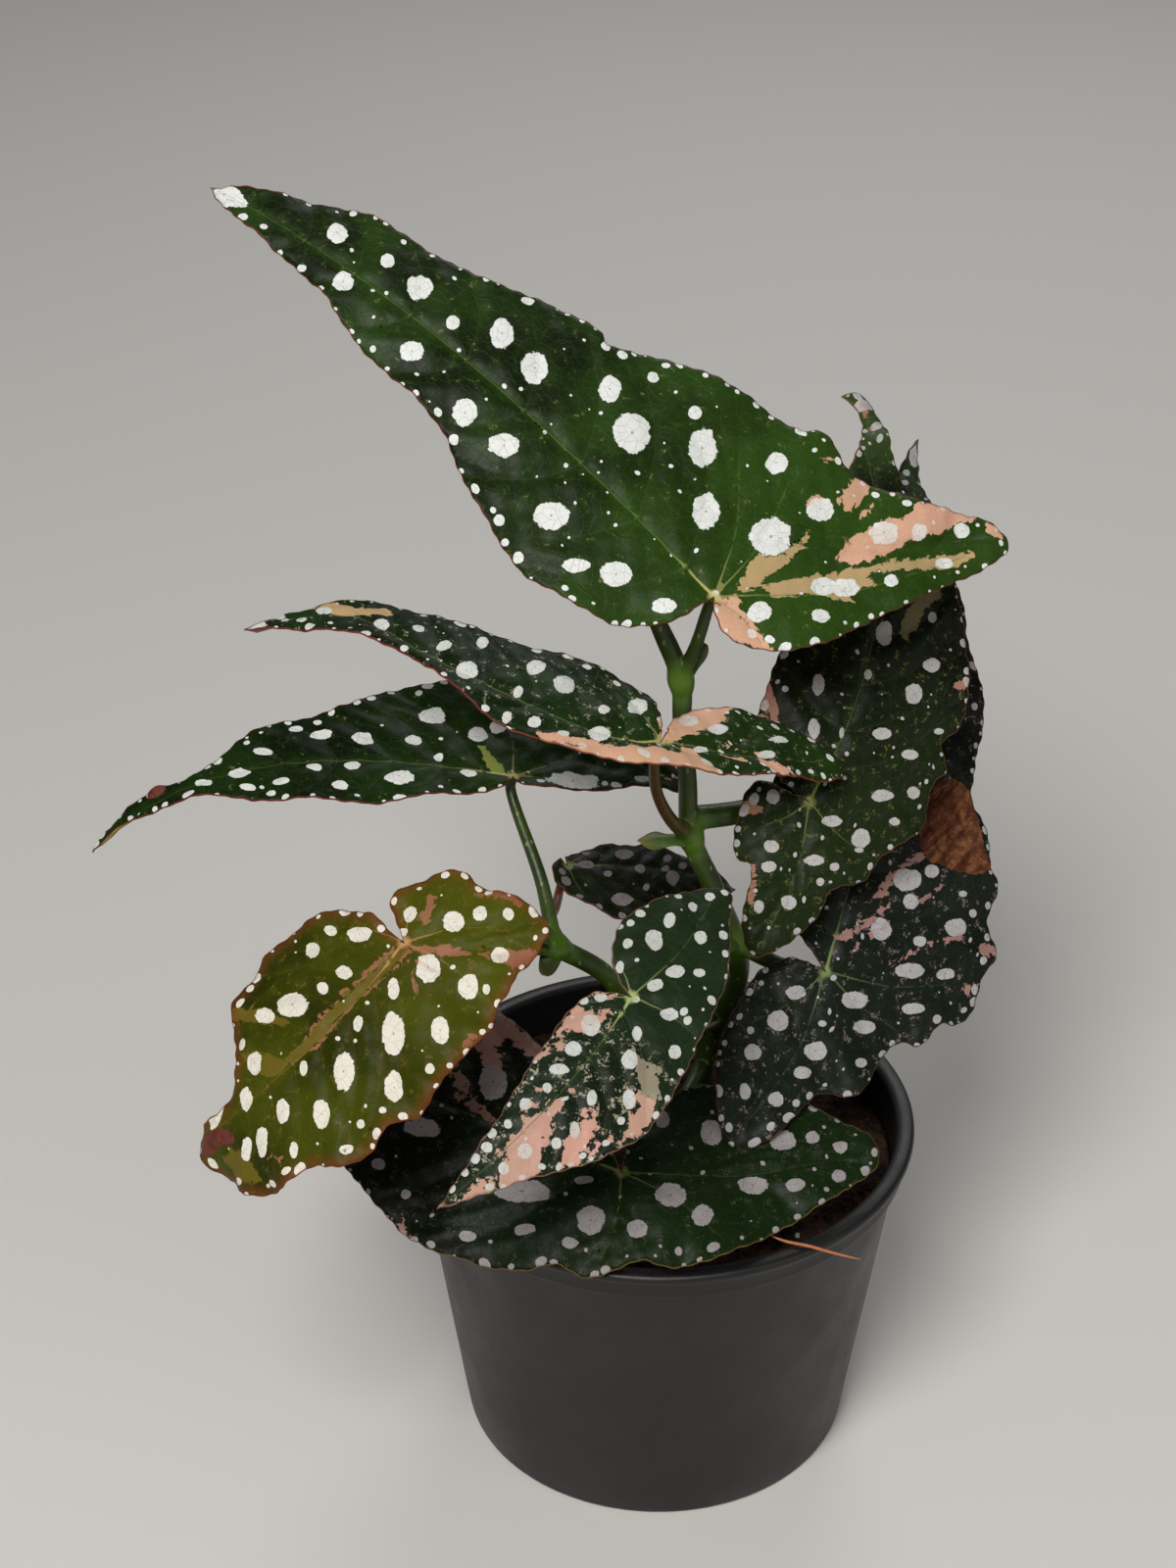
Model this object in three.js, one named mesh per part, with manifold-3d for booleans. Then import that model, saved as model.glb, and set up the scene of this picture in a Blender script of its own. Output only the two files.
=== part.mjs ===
// A variegated polka dot begonia in a black nursery pot. Millimetres, +Z up.
// The origin is the middle of the pot's flat base.

import * as THREE from 'three';
import { mergeVertices } from 'three/addons/utils/BufferGeometryUtils.js';
import Module from 'manifold-3d';

const wasm = await Module();
wasm.setup();

// Pot
const potHeight = 90;
const rimRadius = 65;
const bandRadius = 63.4;
const bandHeight = 8;
const bodyTopRadius = 61.6;
const baseRadius = 50;
const wallThickness = 1.4;
const lipThickness = 2.6;
const drainCount = 6;
const drainRadius = 4;
const drainRing = 36;
const potSides = 56;
const footChamfer = 1;
const bandStep = 1.2;
const lipStep = 0.6;
const lipEase = 0.8;
const holeSides = 16;
const drainCutHeight = 12;

// Soil
const soilLevel = 79;
const soilSides = 40;
const soilRings = 6;
const soilBump = 1.6;
const soilSwell = { x: 0.21, y: 0.17, turnX: 1.3, turnY: -0.6 };
const soilRipple = { x: 0.43, y: -0.31, share: 0.4 };
const fitGap = 0.3;
const soilTopClear = soilLevel + 6;

// Canes and leaf stalks
const caneFoot = 66;
const caneHoleDepth = 40;
const caneHoleEase = 0.4;
const mainCaneFoot = [12, 24];
const sideCaneFoot = [-2, 6];
const caneRadius = 2.7;
const sideCaneRadius = 2.4;
const caneSides = 10;
const stalkSides = 8;
const stepsPerSpan = 3;
const knotSides = 10;
const knotRings = 6;
const knotFlatness = 0.8;
const stipuleThickness = 0.9;
const stipuleSides = 8;
const stipuleRings = 6;
const neckLength = 3;
const fibreRadius = 0.4;
const fibreSides = 5;

// Leaf blades
const bladeThickness = 0.7;
const veinSlant = 0.7;
const notchReach = 3;
const creaseWidth = 10;
const midribSteps = 12;
const marginSamples = 240;
const fanSpacing = 9;
const stationCount = 12;
const bladeRings = 4;

// Each blade is drawn flat, as [along the midrib, across it] in mm from where its stalk joins:
// the left and right margins run from the notch at the stalk to the tip. It is then bent down
// along the midrib, folded along it, ruffled at the margin, turned and moved to its stalk.
const leaves = [
  {
    name: 'leaf_top', at: [11, 0, 237], heading: 154, climb: 35, roll: -31, length: 158,
    bend: 24, lobeBend: 30, foldLeft: 10, foldRight: 8, bow: -3, ruffle: 1.2, waves: 8,
    left: [
      [1, 4], [2, 9], [6, 15], [13, 21], [28, 25], [36, 26], [59, 20], [71, 14], [104, 10], [117, 6],
      [149, 3],
    ],
    right: [
      [-2, 3], [-7, 5], [-18, 0], [-25, -9], [-31, -25], [-38, -44], [-44, -60], [-44, -67], [-38, -69],
      [-29, -64], [-22, -59], [-8, -52], [-3, -51], [8, -53], [13, -49], [27, -47], [49, -38], [59, -31],
      [62, -32], [78, -29], [90, -23], [123, -17], [145, -7],
    ],
  },
  {
    name: 'leaf_upper_left', at: [-1, -12, 206], heading: 162, climb: 23, roll: -2, length: 109,
    bend: 52, lobeBend: 35, foldLeft: 8, foldRight: 4, bow: 6, ruffle: 0.8, waves: 6,
    left: [
      [0, -3], [0, -11], [-3, -19], [-20, -34], [-28, -37], [-36, -37], [-41, -35], [-42, -31], [-35, -22],
      [-12, 2], [6, 13], [28, 21], [50, 15], [63, 9], [80, 6], [100, 2],
    ],
    right: [[1, -3], [4, -10], [7, -15], [13, -16], [33, -13], [53, -9], [73, -11], [90, -9], [103, -6]],
  },
  {
    name: 'leaf_middle_left', at: [-36, 8, 185], heading: -173, climb: 11, roll: -6, length: 109,
    bend: 62, lobeBend: 25, foldLeft: 8, foldRight: -14, bow: -2, ruffle: 0.8, waves: 6,
    left: [
      [1, 3], [6, 6], [23, 11], [38, 13], [59, 10], [76, 4], [84, 2.2], [91, 0.9], [97, -0.3], [103, -0.1],
    ],
    right: [
      [-1, 3], [-8, 4], [-19, 1], [-29, -2.5], [-39, -4.6], [-47, -6], [-48, -8], [-45, -12], [-33, -21],
      [-20, -27], [-5, -30], [11, -30], [18, -29], [27, -27], [43, -19], [59, -16], [70, -9], [82, -5],
      [92, -4.5], [100, -4.2], [107, -3],
    ],
  },
  {
    name: 'leaf_olive', at: [-60, -45, 172], heading: -155, climb: -27, roll: -23, length: 72,
    bend: 55, lobeBend: 30, foldLeft: 8, foldRight: 12, bow: 7, ruffle: 1.2, waves: 9,
    left: [
      [-1, -4], [-3, -11], [-7, -12], [-14, -11], [-21, -6], [-22, -1], [-29, 10], [-29, 17], [-22, 21],
      [-17, 22], [-13, 25], [-8, 26], [-4, 30], [6, 31], [20, 36], [25, 34], [34, 35], [41, 34], [48, 28],
      [61, 25], [69, 18], [73, 8],
    ],
    right: [
      [1, -5], [2, -11], [8, -19], [19, -22], [32, -20], [41, -17], [46, -11], [48, -4], [53, 0], [60, 1],
      [67, -1],
    ],
  },
  {
    name: 'leaf_front', at: [-8, -48, 159], heading: -134, climb: -18, roll: -25, length: 67,
    bend: 40, lobeBend: 30, foldLeft: 10, foldRight: 8, bow: 4, ruffle: 0.6, waves: 6,
    left: [
      [-1, -4], [-3, -8], [-7, -12], [-15, -15], [-25, -13], [-36, -8], [-40, -3], [-32, 4], [-19, 13],
      [-4, 18], [13, 23], [22, 24], [33, 21], [48, 12], [61, 4],
    ],
    right: [[1.4, -3.4], [5, -7], [12, -8], [26, -6], [41, -3], [55, -1]],
  },
  {
    name: 'leaf_right', at: [36, 12, 175], heading: 78, climb: 54, roll: 17, length: 109,
    bend: 35, lobeBend: 25, foldLeft: 14, foldRight: 10, bow: -12, ruffle: 1.2, waves: 8,
    left: [
      [1.6, 3], [8, 12], [14, 15], [25, 14], [40, 10], [58, 6], [80, -1.2], [92, -3.8], [97, -3.8],
      [101, -2.4], [105, -1.2],
    ],
    right: [
      [1, 3.5], [4, 12], [0, 16], [-7, 17], [-16, 16], [-17, 12.5], [-26, 12.5], [-34, 12], [-39, 9],
      [-38, 5], [-29, -5], [-21, -8], [-17, -17], [-11, -20], [-2, -30], [9, -31], [12, -34], [19, -32],
      [23, -36],
      [39, -37], [54, -33], [68, -28], [83, -20], [92, -16], [98, -12.8], [105, -11.6], [110.5, -8.5],
      [111.5, -3.5],
    ],
  },
  {
    name: 'leaf_lower_right', at: [41, 2, 132], heading: 71, climb: 46, roll: 25, length: 153,
    bend: 30, lobeBend: 25, foldLeft: 10, foldRight: 12, bow: -3, ruffle: 1.4, waves: 9,
    left: [
      [2.6, 3.2], [7, 8.6], [14, 15], [23, 20], [36, 22], [51, 23], [68, 22], [103, 15], [137, 5], [146, 3],
    ],
    right: [
      [1, 4], [1, 10], [-4, 16], [-20, 21], [-35, 20], [-46, 15], [-48, 10], [-42, 3], [-33, -3], [-30, -6],
      [-28, -15], [-19, -19], [-12, -24], [-12, -29], [-5, -33], [-4, -38], [1, -42], [10, -42], [16, -45],
      [24, -41], [34, -41], [38, -38], [47, -36], [54, -29], [74, -29], [84, -26], [110, -15], [137, -3],
    ],
  },
  {
    name: 'leaf_rim', at: [-10, -46, 107], heading: 154, climb: 11, roll: -21, length: 104,
    bend: 30, lobeBend: 20, foldLeft: 18, foldRight: 0, bow: 3, ruffle: 1, waves: 8,
    left: [
      [1, -3], [3, -10], [1, -20], [-4, -28], [-13, -35], [-23, -39], [-36, -39], [-49, -38], [-53, -34],
      [-51, -27], [-40, -5], [-35, 3], [-29, 9], [-22, 15], [-14, 18], [-5, 26], [3, 27], [10, 32], [22, 35],
      [34, 37], [54, 31], [74, 20], [93, 9],
    ],
    right: [[2.6, -2.2], [12, -9.5], [23, -17], [36, -23], [50, -26], [65, -26], [83, -20], [94, -13]],
  },
  {
    name: 'leaf_small', at: [-23, 25, 149], heading: 21, climb: -13, roll: 18, length: 53,
    bend: 30, lobeBend: 20, foldLeft: 8, foldRight: 8, bow: 0, ruffle: 0.5, waves: 4,
    left: [[0, 2.6], [8, 6], [18, 8], [30, 8], [44, 4]],
    right: [[-1.5, 2], [-4, 0], [-5, -5], [0, -11], [8, -16], [17, -18], [26, -16], [37, -11], [46, -5]],
  },
];

const bladeColours = {
  leaf_top: 0x2c4a20,
  leaf_upper_left: 0x2a4424,
  leaf_middle_left: 0x26421e,
  leaf_olive: 0x66741f,
  leaf_front: 0x2a4030,
  leaf_right: 0x223020,
  leaf_lower_right: 0x222a26,
  leaf_rim: 0x1c2a1c,
  leaf_small: 0x24301e,
};

const colours = { pot: 0x141416, soil: 0x2a1d16, cane: 0x4c6a1e, fibre: 0xb4653c };

const degrees = Math.PI / 180;

function material(colour, roughness) {
  return new THREE.MeshStandardMaterial({ color: colour, roughness, metalness: 0 });
}

function mesh(name, geometry, colour, roughness) {
  const part = new THREE.Mesh(geometry, material(colour, roughness));
  part.name = name;
  return part;
}

function toSolid(geometry) {
  const bare = geometry.clone();
  bare.deleteAttribute('normal');
  bare.deleteAttribute('uv');
  const merged = mergeVertices(bare, 1e-4);
  return new wasm.Manifold(new wasm.Mesh({
    numProp: 3,
    vertProperties: new Float32Array(merged.attributes.position.array),
    triVerts: new Uint32Array(merged.index.array),
  }));
}

function toGeometry(solid) {
  const { vertProperties, triVerts } = solid.getMesh();
  const geometry = new THREE.BufferGeometry();
  geometry.setAttribute('position', new THREE.Float32BufferAttribute(vertProperties, 3));
  geometry.setIndex(Array.from(triVerts));
  return geometry;
}

function joined(geometries) {
  return toGeometry(geometries.map(toSolid).reduce((all, next) => all.add(next)));
}

function cut(geometry, cutters) {
  return toGeometry(cutters.map(toSolid).reduce((left, next) => left.subtract(next), toSolid(geometry)));
}

function lathe(profile, sides) {
  const turned = new THREE.LatheGeometry(profile.map(([r, z]) => new THREE.Vector2(r, z)), sides);
  return turned.rotateX(90 * degrees);
}

function upright(radius, height, x, y, z, sides) {
  return new THREE.CylinderGeometry(radius, radius, height, sides)
    .rotateX(90 * degrees)
    .translate(x, y, z);
}

function innerRadius(z) {
  const rise = (potHeight - bandHeight - z) / (potHeight - bandHeight);
  return bodyTopRadius - wallThickness - (bodyTopRadius - baseRadius) * Math.max(0, rise);
}

// The lip is rolled outward over a band a little wider than the tapered body.
function potGeometry() {
  const bandFoot = potHeight - bandHeight;
  const lipFoot = potHeight - lipThickness;
  const profile = [
    [0, 0], [baseRadius - footChamfer, 0], [baseRadius, footChamfer],
    [bodyTopRadius, bandFoot - bandStep], [bandRadius, bandFoot],
    [bandRadius, lipFoot - lipStep], [rimRadius - lipStep, lipFoot], [rimRadius, lipFoot + lipEase],
    [rimRadius, potHeight - lipEase], [rimRadius - lipEase, potHeight],
    [innerRadius(potHeight) + lipEase, potHeight],
    [innerRadius(potHeight), potHeight - lipEase], [innerRadius(bandFoot), bandFoot],
    [innerRadius(wallThickness), wallThickness], [0, wallThickness],
  ];
  const drains = [];
  for (let i = 0; i < drainCount; i += 1) {
    const turn = (i + 0.5) / drainCount * 2 * Math.PI;
    const [x, y] = [drainRing * Math.cos(turn), drainRing * Math.sin(turn)];
    drains.push(upright(drainRadius, drainCutHeight, x, y, 0, holeSides));
  }
  return cut(lathe(profile, potSides), drains);
}

// The soil is uneven: a broad swell with a finer ripple on it.
function soilHeight(x, y) {
  const swell = Math.sin(soilSwell.x * x + soilSwell.turnX) * Math.cos(soilSwell.y * y + soilSwell.turnY);
  const ripple = soilRipple.share * Math.sin(soilRipple.x * x + soilRipple.y * y);
  return soilBump * (swell + ripple);
}

function soilGeometry() {
  const bottom = wallThickness + fitGap;
  const shoulder = soilLevel - 2 * soilBump;
  const topRadius = innerRadius(shoulder) - fitGap;
  const profile = [[0, bottom], [innerRadius(bottom) - fitGap, bottom], [topRadius, shoulder]];
  for (let i = soilRings - 1; i >= 0; i -= 1) {
    profile.push([topRadius * i / soilRings, soilLevel]);
  }
  const block = lathe(profile, soilSides);
  const place = block.attributes.position;
  for (let i = 0; i < place.count; i += 1) {
    if (place.getZ(i) > soilLevel - fitGap) {
      place.setZ(i, soilLevel + soilHeight(place.getX(i), place.getY(i)));
    }
  }
  const flatToCorner = 1 / Math.cos(Math.PI / holeSides);
  const middle = caneFoot - fitGap + caneHoleDepth / 2;
  const holes = [[mainCaneFoot, caneRadius], [sideCaneFoot, sideCaneRadius]].map(([[x, y], radius]) => (
    upright((radius + caneHoleEase) * flatToCorner, caneHoleDepth, x, y, middle, holeSides)
  ));
  return cut(block, holes);
}

// A round stem along a smooth curve through the points, its radius running through the radii.
function stem(points, radii, sides) {
  const curve = new THREE.CatmullRomCurve3(points.map((p) => new THREE.Vector3(...p)), false, 'centripetal');
  const steps = stepsPerSpan * (points.length - 1);
  const rings = curve.getSpacedPoints(steps);
  const frames = curve.computeFrenetFrames(steps);
  const positions = [];
  const index = [];
  rings.forEach((centre, i) => {
    const along = i / steps * (radii.length - 1);
    const low = Math.min(Math.floor(along), radii.length - 2);
    const radius = THREE.MathUtils.lerp(radii[low], radii[low + 1], along - low);
    for (let j = 0; j < sides; j += 1) {
      const turn = j / sides * 2 * Math.PI;
      const spoke = frames.normals[i].clone().multiplyScalar(Math.cos(turn) * radius)
        .addScaledVector(frames.binormals[i], Math.sin(turn) * radius);
      positions.push(...centre.clone().add(spoke).toArray());
    }
  });
  for (let i = 0; i < steps; i += 1) {
    for (let j = 0; j < sides; j += 1) {
      const a = i * sides + j;
      const b = i * sides + (j + 1) % sides;
      index.push(a, b, a + sides, b, b + sides, a + sides);
    }
  }
  const start = positions.length / 3;
  positions.push(...rings[0].toArray(), ...rings[steps].toArray());
  for (let j = 0; j < sides; j += 1) {
    const next = (j + 1) % sides;
    index.push(start, next, j, start + 1, steps * sides + j, steps * sides + next);
  }
  const geometry = new THREE.BufferGeometry();
  geometry.setAttribute('position', new THREE.Float32BufferAttribute(positions, 3));
  geometry.setIndex(index);
  return geometry;
}

// A swollen joint of the cane.
function knot([x, y, z], radius) {
  return new THREE.SphereGeometry(radius, knotSides, knotRings).scale(1, 1, knotFlatness).translate(x, y, z);
}

// A thin pointed flap beside a joint, from its root out to its tip.
function stipule(root, tip, width) {
  const from = new THREE.Vector3(...root);
  const out = new THREE.Vector3(...tip).sub(from);
  const flap = new THREE.SphereGeometry(0.5, stipuleSides, stipuleRings)
    .scale(stipuleThickness, width, out.length());
  const turn = new THREE.Quaternion().setFromUnitVectors(new THREE.Vector3(0, 0, 1), out.clone().normalize());
  const middle = from.addScaledVector(out, 0.5);
  return flap.applyQuaternion(turn).translate(middle.x, middle.y, middle.z);
}

function leafNamed(name) {
  return leaves.find((leaf) => leaf.name === name);
}

// Where a stalk ends: just under the blade at its notch.
function stalkEnd(name) {
  const leaf = leafNamed(name);
  const { out } = bladeFrame(leaf);
  const drop = bladeThickness / 2 + fitGap;
  return leaf.at.map((value, i) => value - drop * out.toArray()[i]);
}

// The stalk bends over just before the blade, to meet it square on.
function stalk(name, points, radii) {
  const leaf = leafNamed(name);
  const { out } = bladeFrame(leaf);
  const end = stalkEnd(name);
  const neck = end.map((value, i) => value - neckLength * out.toArray()[i]);
  return stem([...points, neck, end], radii, stalkSides);
}

function mainCaneGeometry() {
  const [x, y] = mainCaneFoot;
  const lowJoint = [19, 11, 135];
  const middleJoint = [7, 8, 168];
  const topJoint = [4, 10, 210];
  const cane = [
    [x, y, caneFoot], [x, y, soilTopClear], [16, 20, 107], [20, 15, 121], lowJoint, [13, 9, 152],
    middleJoint, [6, 9, 183], [4.5, 10, 199], topJoint, [-1, 9, 224], [-5, 7, 234],
  ];
  return joined([
    stem(cane, [caneRadius, caneRadius, 2.6, 2.6, 2.7, 2.5, 2.7, 2.4, 2.3, 2.4, 2.4, 1.8], caneSides),
    knot(lowJoint, 3.6),
    knot(middleJoint, 3.6),
    knot(topJoint, 3.1),
    stem([[-5, 7, 233], [-7, 6.4, 237], [-9.5, 5.6, 242]], [1.8, 2.1, 0.5], stalkSides),
    stalk('leaf_top', [topJoint, [7.5, 6, 222]], [2, 1.6, 1.5, 1.3]),
    stalk('leaf_upper_left', [middleJoint, [2, 0, 177], [-2, -7, 190]], [2.4, 1.7, 1.5, 1.4, 1.3]),
    stalk('leaf_right', [[6, 9, 172], [18, 15, 170], [28, 19, 170]], [3.1, 3, 2.9, 2.4, 1.6]),
    stalk('leaf_lower_right', [lowJoint, [29, 7, 131]], [2.6, 2.1, 1.8, 1.4]),
    stalk('leaf_front', [[15, 21, 104], [10, 4, 113], [1, -25, 132]], [2.2, 1.8, 1.6, 1.5, 1.2]),
    stalk('leaf_rim', [[x, y, 88], [9, 10, 92], [-2, -18, 93]], [2.2, 1.9, 1.8, 1.7, 1.4]),
    stipule([7, 7, 168], [-6, 2, 170], 5),
    stipule([19, 10, 136], [14, 2, 140], 5),
    stipule([4, 10, 210], [10, 13, 218], 4),
    stipule([-4, 7.5, 231], [-1, 3, 241], 4),
  ]);
}

function sideCaneGeometry() {
  const [x, y] = sideCaneFoot;
  const joint = [-26, -15, 151];
  const cane = [[x, y, caneFoot], [x, y, soilTopClear], [-5, 0, 112], [-13, -8, 137], joint];
  return joined([
    stem(cane, [sideCaneRadius, sideCaneRadius, 2.3, 2.4, 2.5], caneSides),
    knot(joint, 3.4),
    stem([joint, [-29, -16.5, 156], [-31, -18, 163]], [2.3, 1.9, 0.5], stalkSides),
    stalk('leaf_middle_left', [joint, [-29, -8, 164]], [2, 1.7, 1.5, 1.3]),
    stalk('leaf_olive', [joint, [-42, -26, 156]], [2, 1.7, 1.5, 1.3]),
    stalk('leaf_small', [joint, [-28, -3, 149], [-26, 12, 145]], [2, 1.6, 1.4, 1.2, 1]),
    stipule(joint, [-34, -20, 158], 7),
    stipule(joint, [-29, -21, 144], 6),
  ]);
}

// A dry brown fibre that has dropped across the pot's rim.
function fibreGeometry() {
  const over = potHeight + fibreRadius + fitGap;
  const path = [
    [24, -49, over + 0.2], [29, -52, over], [35, -54, over], [41, -56, over - 0.6], [47, -56, over - 2.4],
  ];
  return stem(path, [fibreRadius, fibreRadius], fibreSides);
}

// The blade's own directions: along its midrib, across it to the left, and out of its upper face.
function bladeFrame({ heading, climb, roll }) {
  const h = heading * degrees;
  const c = climb * degrees;
  const along = new THREE.Vector3(Math.cos(c) * Math.cos(h), Math.cos(c) * Math.sin(h), Math.sin(c));
  const level = new THREE.Vector3(-Math.sin(h), Math.cos(h), 0);
  const across = level.applyAxisAngle(along, roll * degrees);
  const out = new THREE.Vector3().crossVectors(along, across);
  return { along, across, out };
}

function midribOffset({ length, bow }, s) {
  const q = THREE.MathUtils.clamp(s / length, 0, 1);
  return bow * 4 * q * (1 - q);
}

// How far the midrib has turned down at s; it bends ever more towards the tip.
function midribTurn({ length, bend, lobeBend }, s) {
  const q = s / length;
  return s >= 0 ? bend * degrees * q * q : lobeBend * degrees * q;
}

// A point of the flat drawing, carried onto the bent and folded blade.
function bladePoint(leaf, s, t, lift) {
  const { along, across, out } = bladeFrame(leaf);
  let forward = 0;
  let down = 0;
  for (let i = 0; i < midribSteps; i += 1) {
    const turn = midribTurn(leaf, s * (i + 0.5) / midribSteps);
    forward += Math.cos(turn) * s / midribSteps;
    down -= Math.sin(turn) * s / midribSteps;
  }
  const offset = midribOffset(leaf, s);
  const side = t - offset;
  const reach = Math.abs(side);
  const fold = (side > 0 ? leaf.foldLeft : leaf.foldRight) * degrees * reach / (reach + creaseWidth);
  const height = lift - reach * Math.sin(fold);
  const turn = midribTurn(leaf, s);
  return new THREE.Vector3(...leaf.at)
    .addScaledVector(along, forward + height * Math.sin(turn))
    .addScaledVector(across, offset + side * Math.cos(fold))
    .addScaledVector(out, down + height * Math.cos(turn));
}

// Ribs from the midrib out to one margin, as the side veins run. Those round the notch and the
// lobe fan out from the stalk; the others leave the midrib at even stations up to the tip.
function ribs(leaf, margin, sign) {
  const outline = [...margin, [leaf.length, 0]].map(([s, t]) => new THREE.Vector3(s, t, 0));
  const points = new THREE.CatmullRomCurve3(outline, false, 'centripetal').getSpacedPoints(marginSamples);
  const stretch = leaf.length / (leaf.length - notchReach);
  let furthest = 0;
  const feet = points.map(({ x, y }) => {
    const side = sign * (y - midribOffset(leaf, x));
    const foot = side > 0 ? (x - veinSlant * side - notchReach) * stretch : 0;
    furthest = THREE.MathUtils.clamp(foot, furthest, leaf.length);
    return furthest;
  });
  feet[marginSamples] = leaf.length;
  const fanEnd = feet.findIndex((foot) => foot > 0) - 1;
  const arc = (i) => points.slice(1, i + 1).reduce((sum, p, k) => sum + p.distanceTo(points[k]), 0);
  const fanCount = Math.max(2, Math.round(arc(fanEnd) / fanSpacing));
  const found = [];
  for (let j = 0; j < fanCount; j += 1) {
    found.push({ station: 0, w: fanEnd * j / fanCount / marginSamples });
  }
  for (let k = 0; k <= stationCount; k += 1) {
    const target = leaf.length * k / stationCount;
    const next = k === 0 ? fanEnd : feet.findIndex((foot) => foot >= target - 1e-6);
    const before = Math.max(next - 1, 0);
    const share = k === 0 ? 0 : (target - feet[before]) / Math.max(feet[next] - feet[before], 1e-9);
    const spot = k === 0 ? next : before + THREE.MathUtils.clamp(share, 0, 1);
    found.push({ station: k, w: spot / marginSamples });
  }
  return found.map(({ station, w }) => {
    const spot = w * marginSamples;
    const low = Math.min(Math.floor(spot), marginSamples - 1);
    const edge = points[low].clone().lerp(points[low + 1], spot - low);
    return { station, w, edge };
  });
}

function ruffle({ ruffle: height, waves }, w, r) {
  return height * r ** 3 * Math.sin(2 * Math.PI * waves * w);
}

// The middle surface of a blade: a list of points and the triangles between them.
function bladeSurface(leaf) {
  const points = [];
  const triangles = [];
  const stations = [];
  for (let k = 0; k <= stationCount; k += 1) {
    const s = leaf.length * k / stationCount;
    stations.push(points.length);
    points.push(bladePoint(leaf, s, midribOffset(leaf, s), 0));
  }
  [[leaf.left, 1], [leaf.right, -1]].forEach(([margin, sign]) => {
    const rows = ribs(leaf, margin, sign).map(({ station, w, edge }) => {
      const s = leaf.length * station / stationCount;
      const foot = new THREE.Vector3(s, midribOffset(leaf, s), 0);
      const row = [stations[station]];
      for (let m = 1; m <= bladeRings; m += 1) {
        if (station === stationCount) {
          row.push(stations[station]);
        } else {
          const r = m / bladeRings;
          const at = foot.clone().lerp(edge, r);
          row.push(points.length);
          points.push(bladePoint(leaf, at.x, at.y, ruffle(leaf, w, r)));
        }
      }
      return row;
    });
    for (let j = 0; j + 1 < rows.length; j += 1) {
      for (let m = 0; m < bladeRings; m += 1) {
        const corners = [rows[j][m], rows[j][m + 1], rows[j + 1][m + 1], rows[j + 1][m]];
        const [a, b, c, d] = sign > 0 ? corners.slice().reverse() : corners;
        [[a, b, c], [a, c, d]].filter((tri) => new Set(tri).size === 3).forEach((tri) => triangles.push(tri));
      }
    }
  });
  return { points, triangles };
}

// Both faces of the blade share one net of triangles, half the thickness off the middle surface.
function bladeGeometry(leaf) {
  const { points, triangles } = bladeSurface(leaf);
  const middle = new THREE.BufferGeometry().setFromPoints(points);
  middle.setIndex(triangles.flat());
  middle.computeVertexNormals();
  const normals = middle.attributes.normal;
  const face = (side) => points.map((point, i) => {
    const outward = new THREE.Vector3().fromBufferAttribute(normals, i);
    return point.clone().addScaledVector(outward, side * bladeThickness / 2);
  });
  const count = points.length;
  const index = triangles.flatMap(([a, b, c]) => [a, b, c, a + count, c + count, b + count]);
  const edges = new Set(triangles.flatMap(([a, b, c]) => [`${a},${b}`, `${b},${c}`, `${c},${a}`]));
  edges.forEach((edge) => {
    const [a, b] = edge.split(',').map(Number);
    if (!edges.has(`${b},${a}`)) {
      index.push(a, a + count, b + count, a, b + count, b);
    }
  });
  const geometry = new THREE.BufferGeometry().setFromPoints([...face(1), ...face(-1)]);
  geometry.setIndex(index);
  return geometry;
}

const begonia = new THREE.Group();
begonia.add(
  mesh('pot', potGeometry(), colours.pot, 0.5),
  mesh('soil', soilGeometry(), colours.soil, 0.95),
  mesh('main_cane', mainCaneGeometry(), colours.cane, 0.5),
  mesh('side_cane', sideCaneGeometry(), colours.cane, 0.5),
  mesh('dry_fibre', fibreGeometry(), colours.fibre, 0.8),
);
leaves.forEach((leaf) => begonia.add(mesh(leaf.name, bladeGeometry(leaf), bladeColours[leaf.name], 0.45)));

export default begonia;
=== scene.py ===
import math
import bpy
import bmesh
import numpy as np
from mathutils.geometry import delaunay_2d_cdt
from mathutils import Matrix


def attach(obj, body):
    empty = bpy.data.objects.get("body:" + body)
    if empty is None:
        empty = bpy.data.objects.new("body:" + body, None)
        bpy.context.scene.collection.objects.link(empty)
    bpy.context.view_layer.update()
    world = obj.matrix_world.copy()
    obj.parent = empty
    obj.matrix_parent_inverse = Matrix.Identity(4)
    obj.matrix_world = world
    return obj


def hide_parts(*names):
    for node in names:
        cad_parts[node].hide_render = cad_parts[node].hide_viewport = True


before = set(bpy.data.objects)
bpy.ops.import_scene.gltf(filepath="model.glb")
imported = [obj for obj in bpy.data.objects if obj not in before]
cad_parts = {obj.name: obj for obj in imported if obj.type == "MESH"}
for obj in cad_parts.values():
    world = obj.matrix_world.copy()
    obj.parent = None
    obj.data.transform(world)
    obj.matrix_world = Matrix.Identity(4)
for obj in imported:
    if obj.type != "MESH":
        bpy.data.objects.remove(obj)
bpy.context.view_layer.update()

# A variegated polka dot begonia in a black nursery pot. Shapes are worked out in mm and made in metres.

mm = 0.001


def linear(hexText):
    def channel(pair):
        c = int(pair, 16) / 255
        return c / 12.92 if c <= 0.04045 else ((c + 0.055) / 1.055) ** 2.4
    return (channel(hexText[1:3]), channel(hexText[3:5]), channel(hexText[5:7]), 1)


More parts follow.
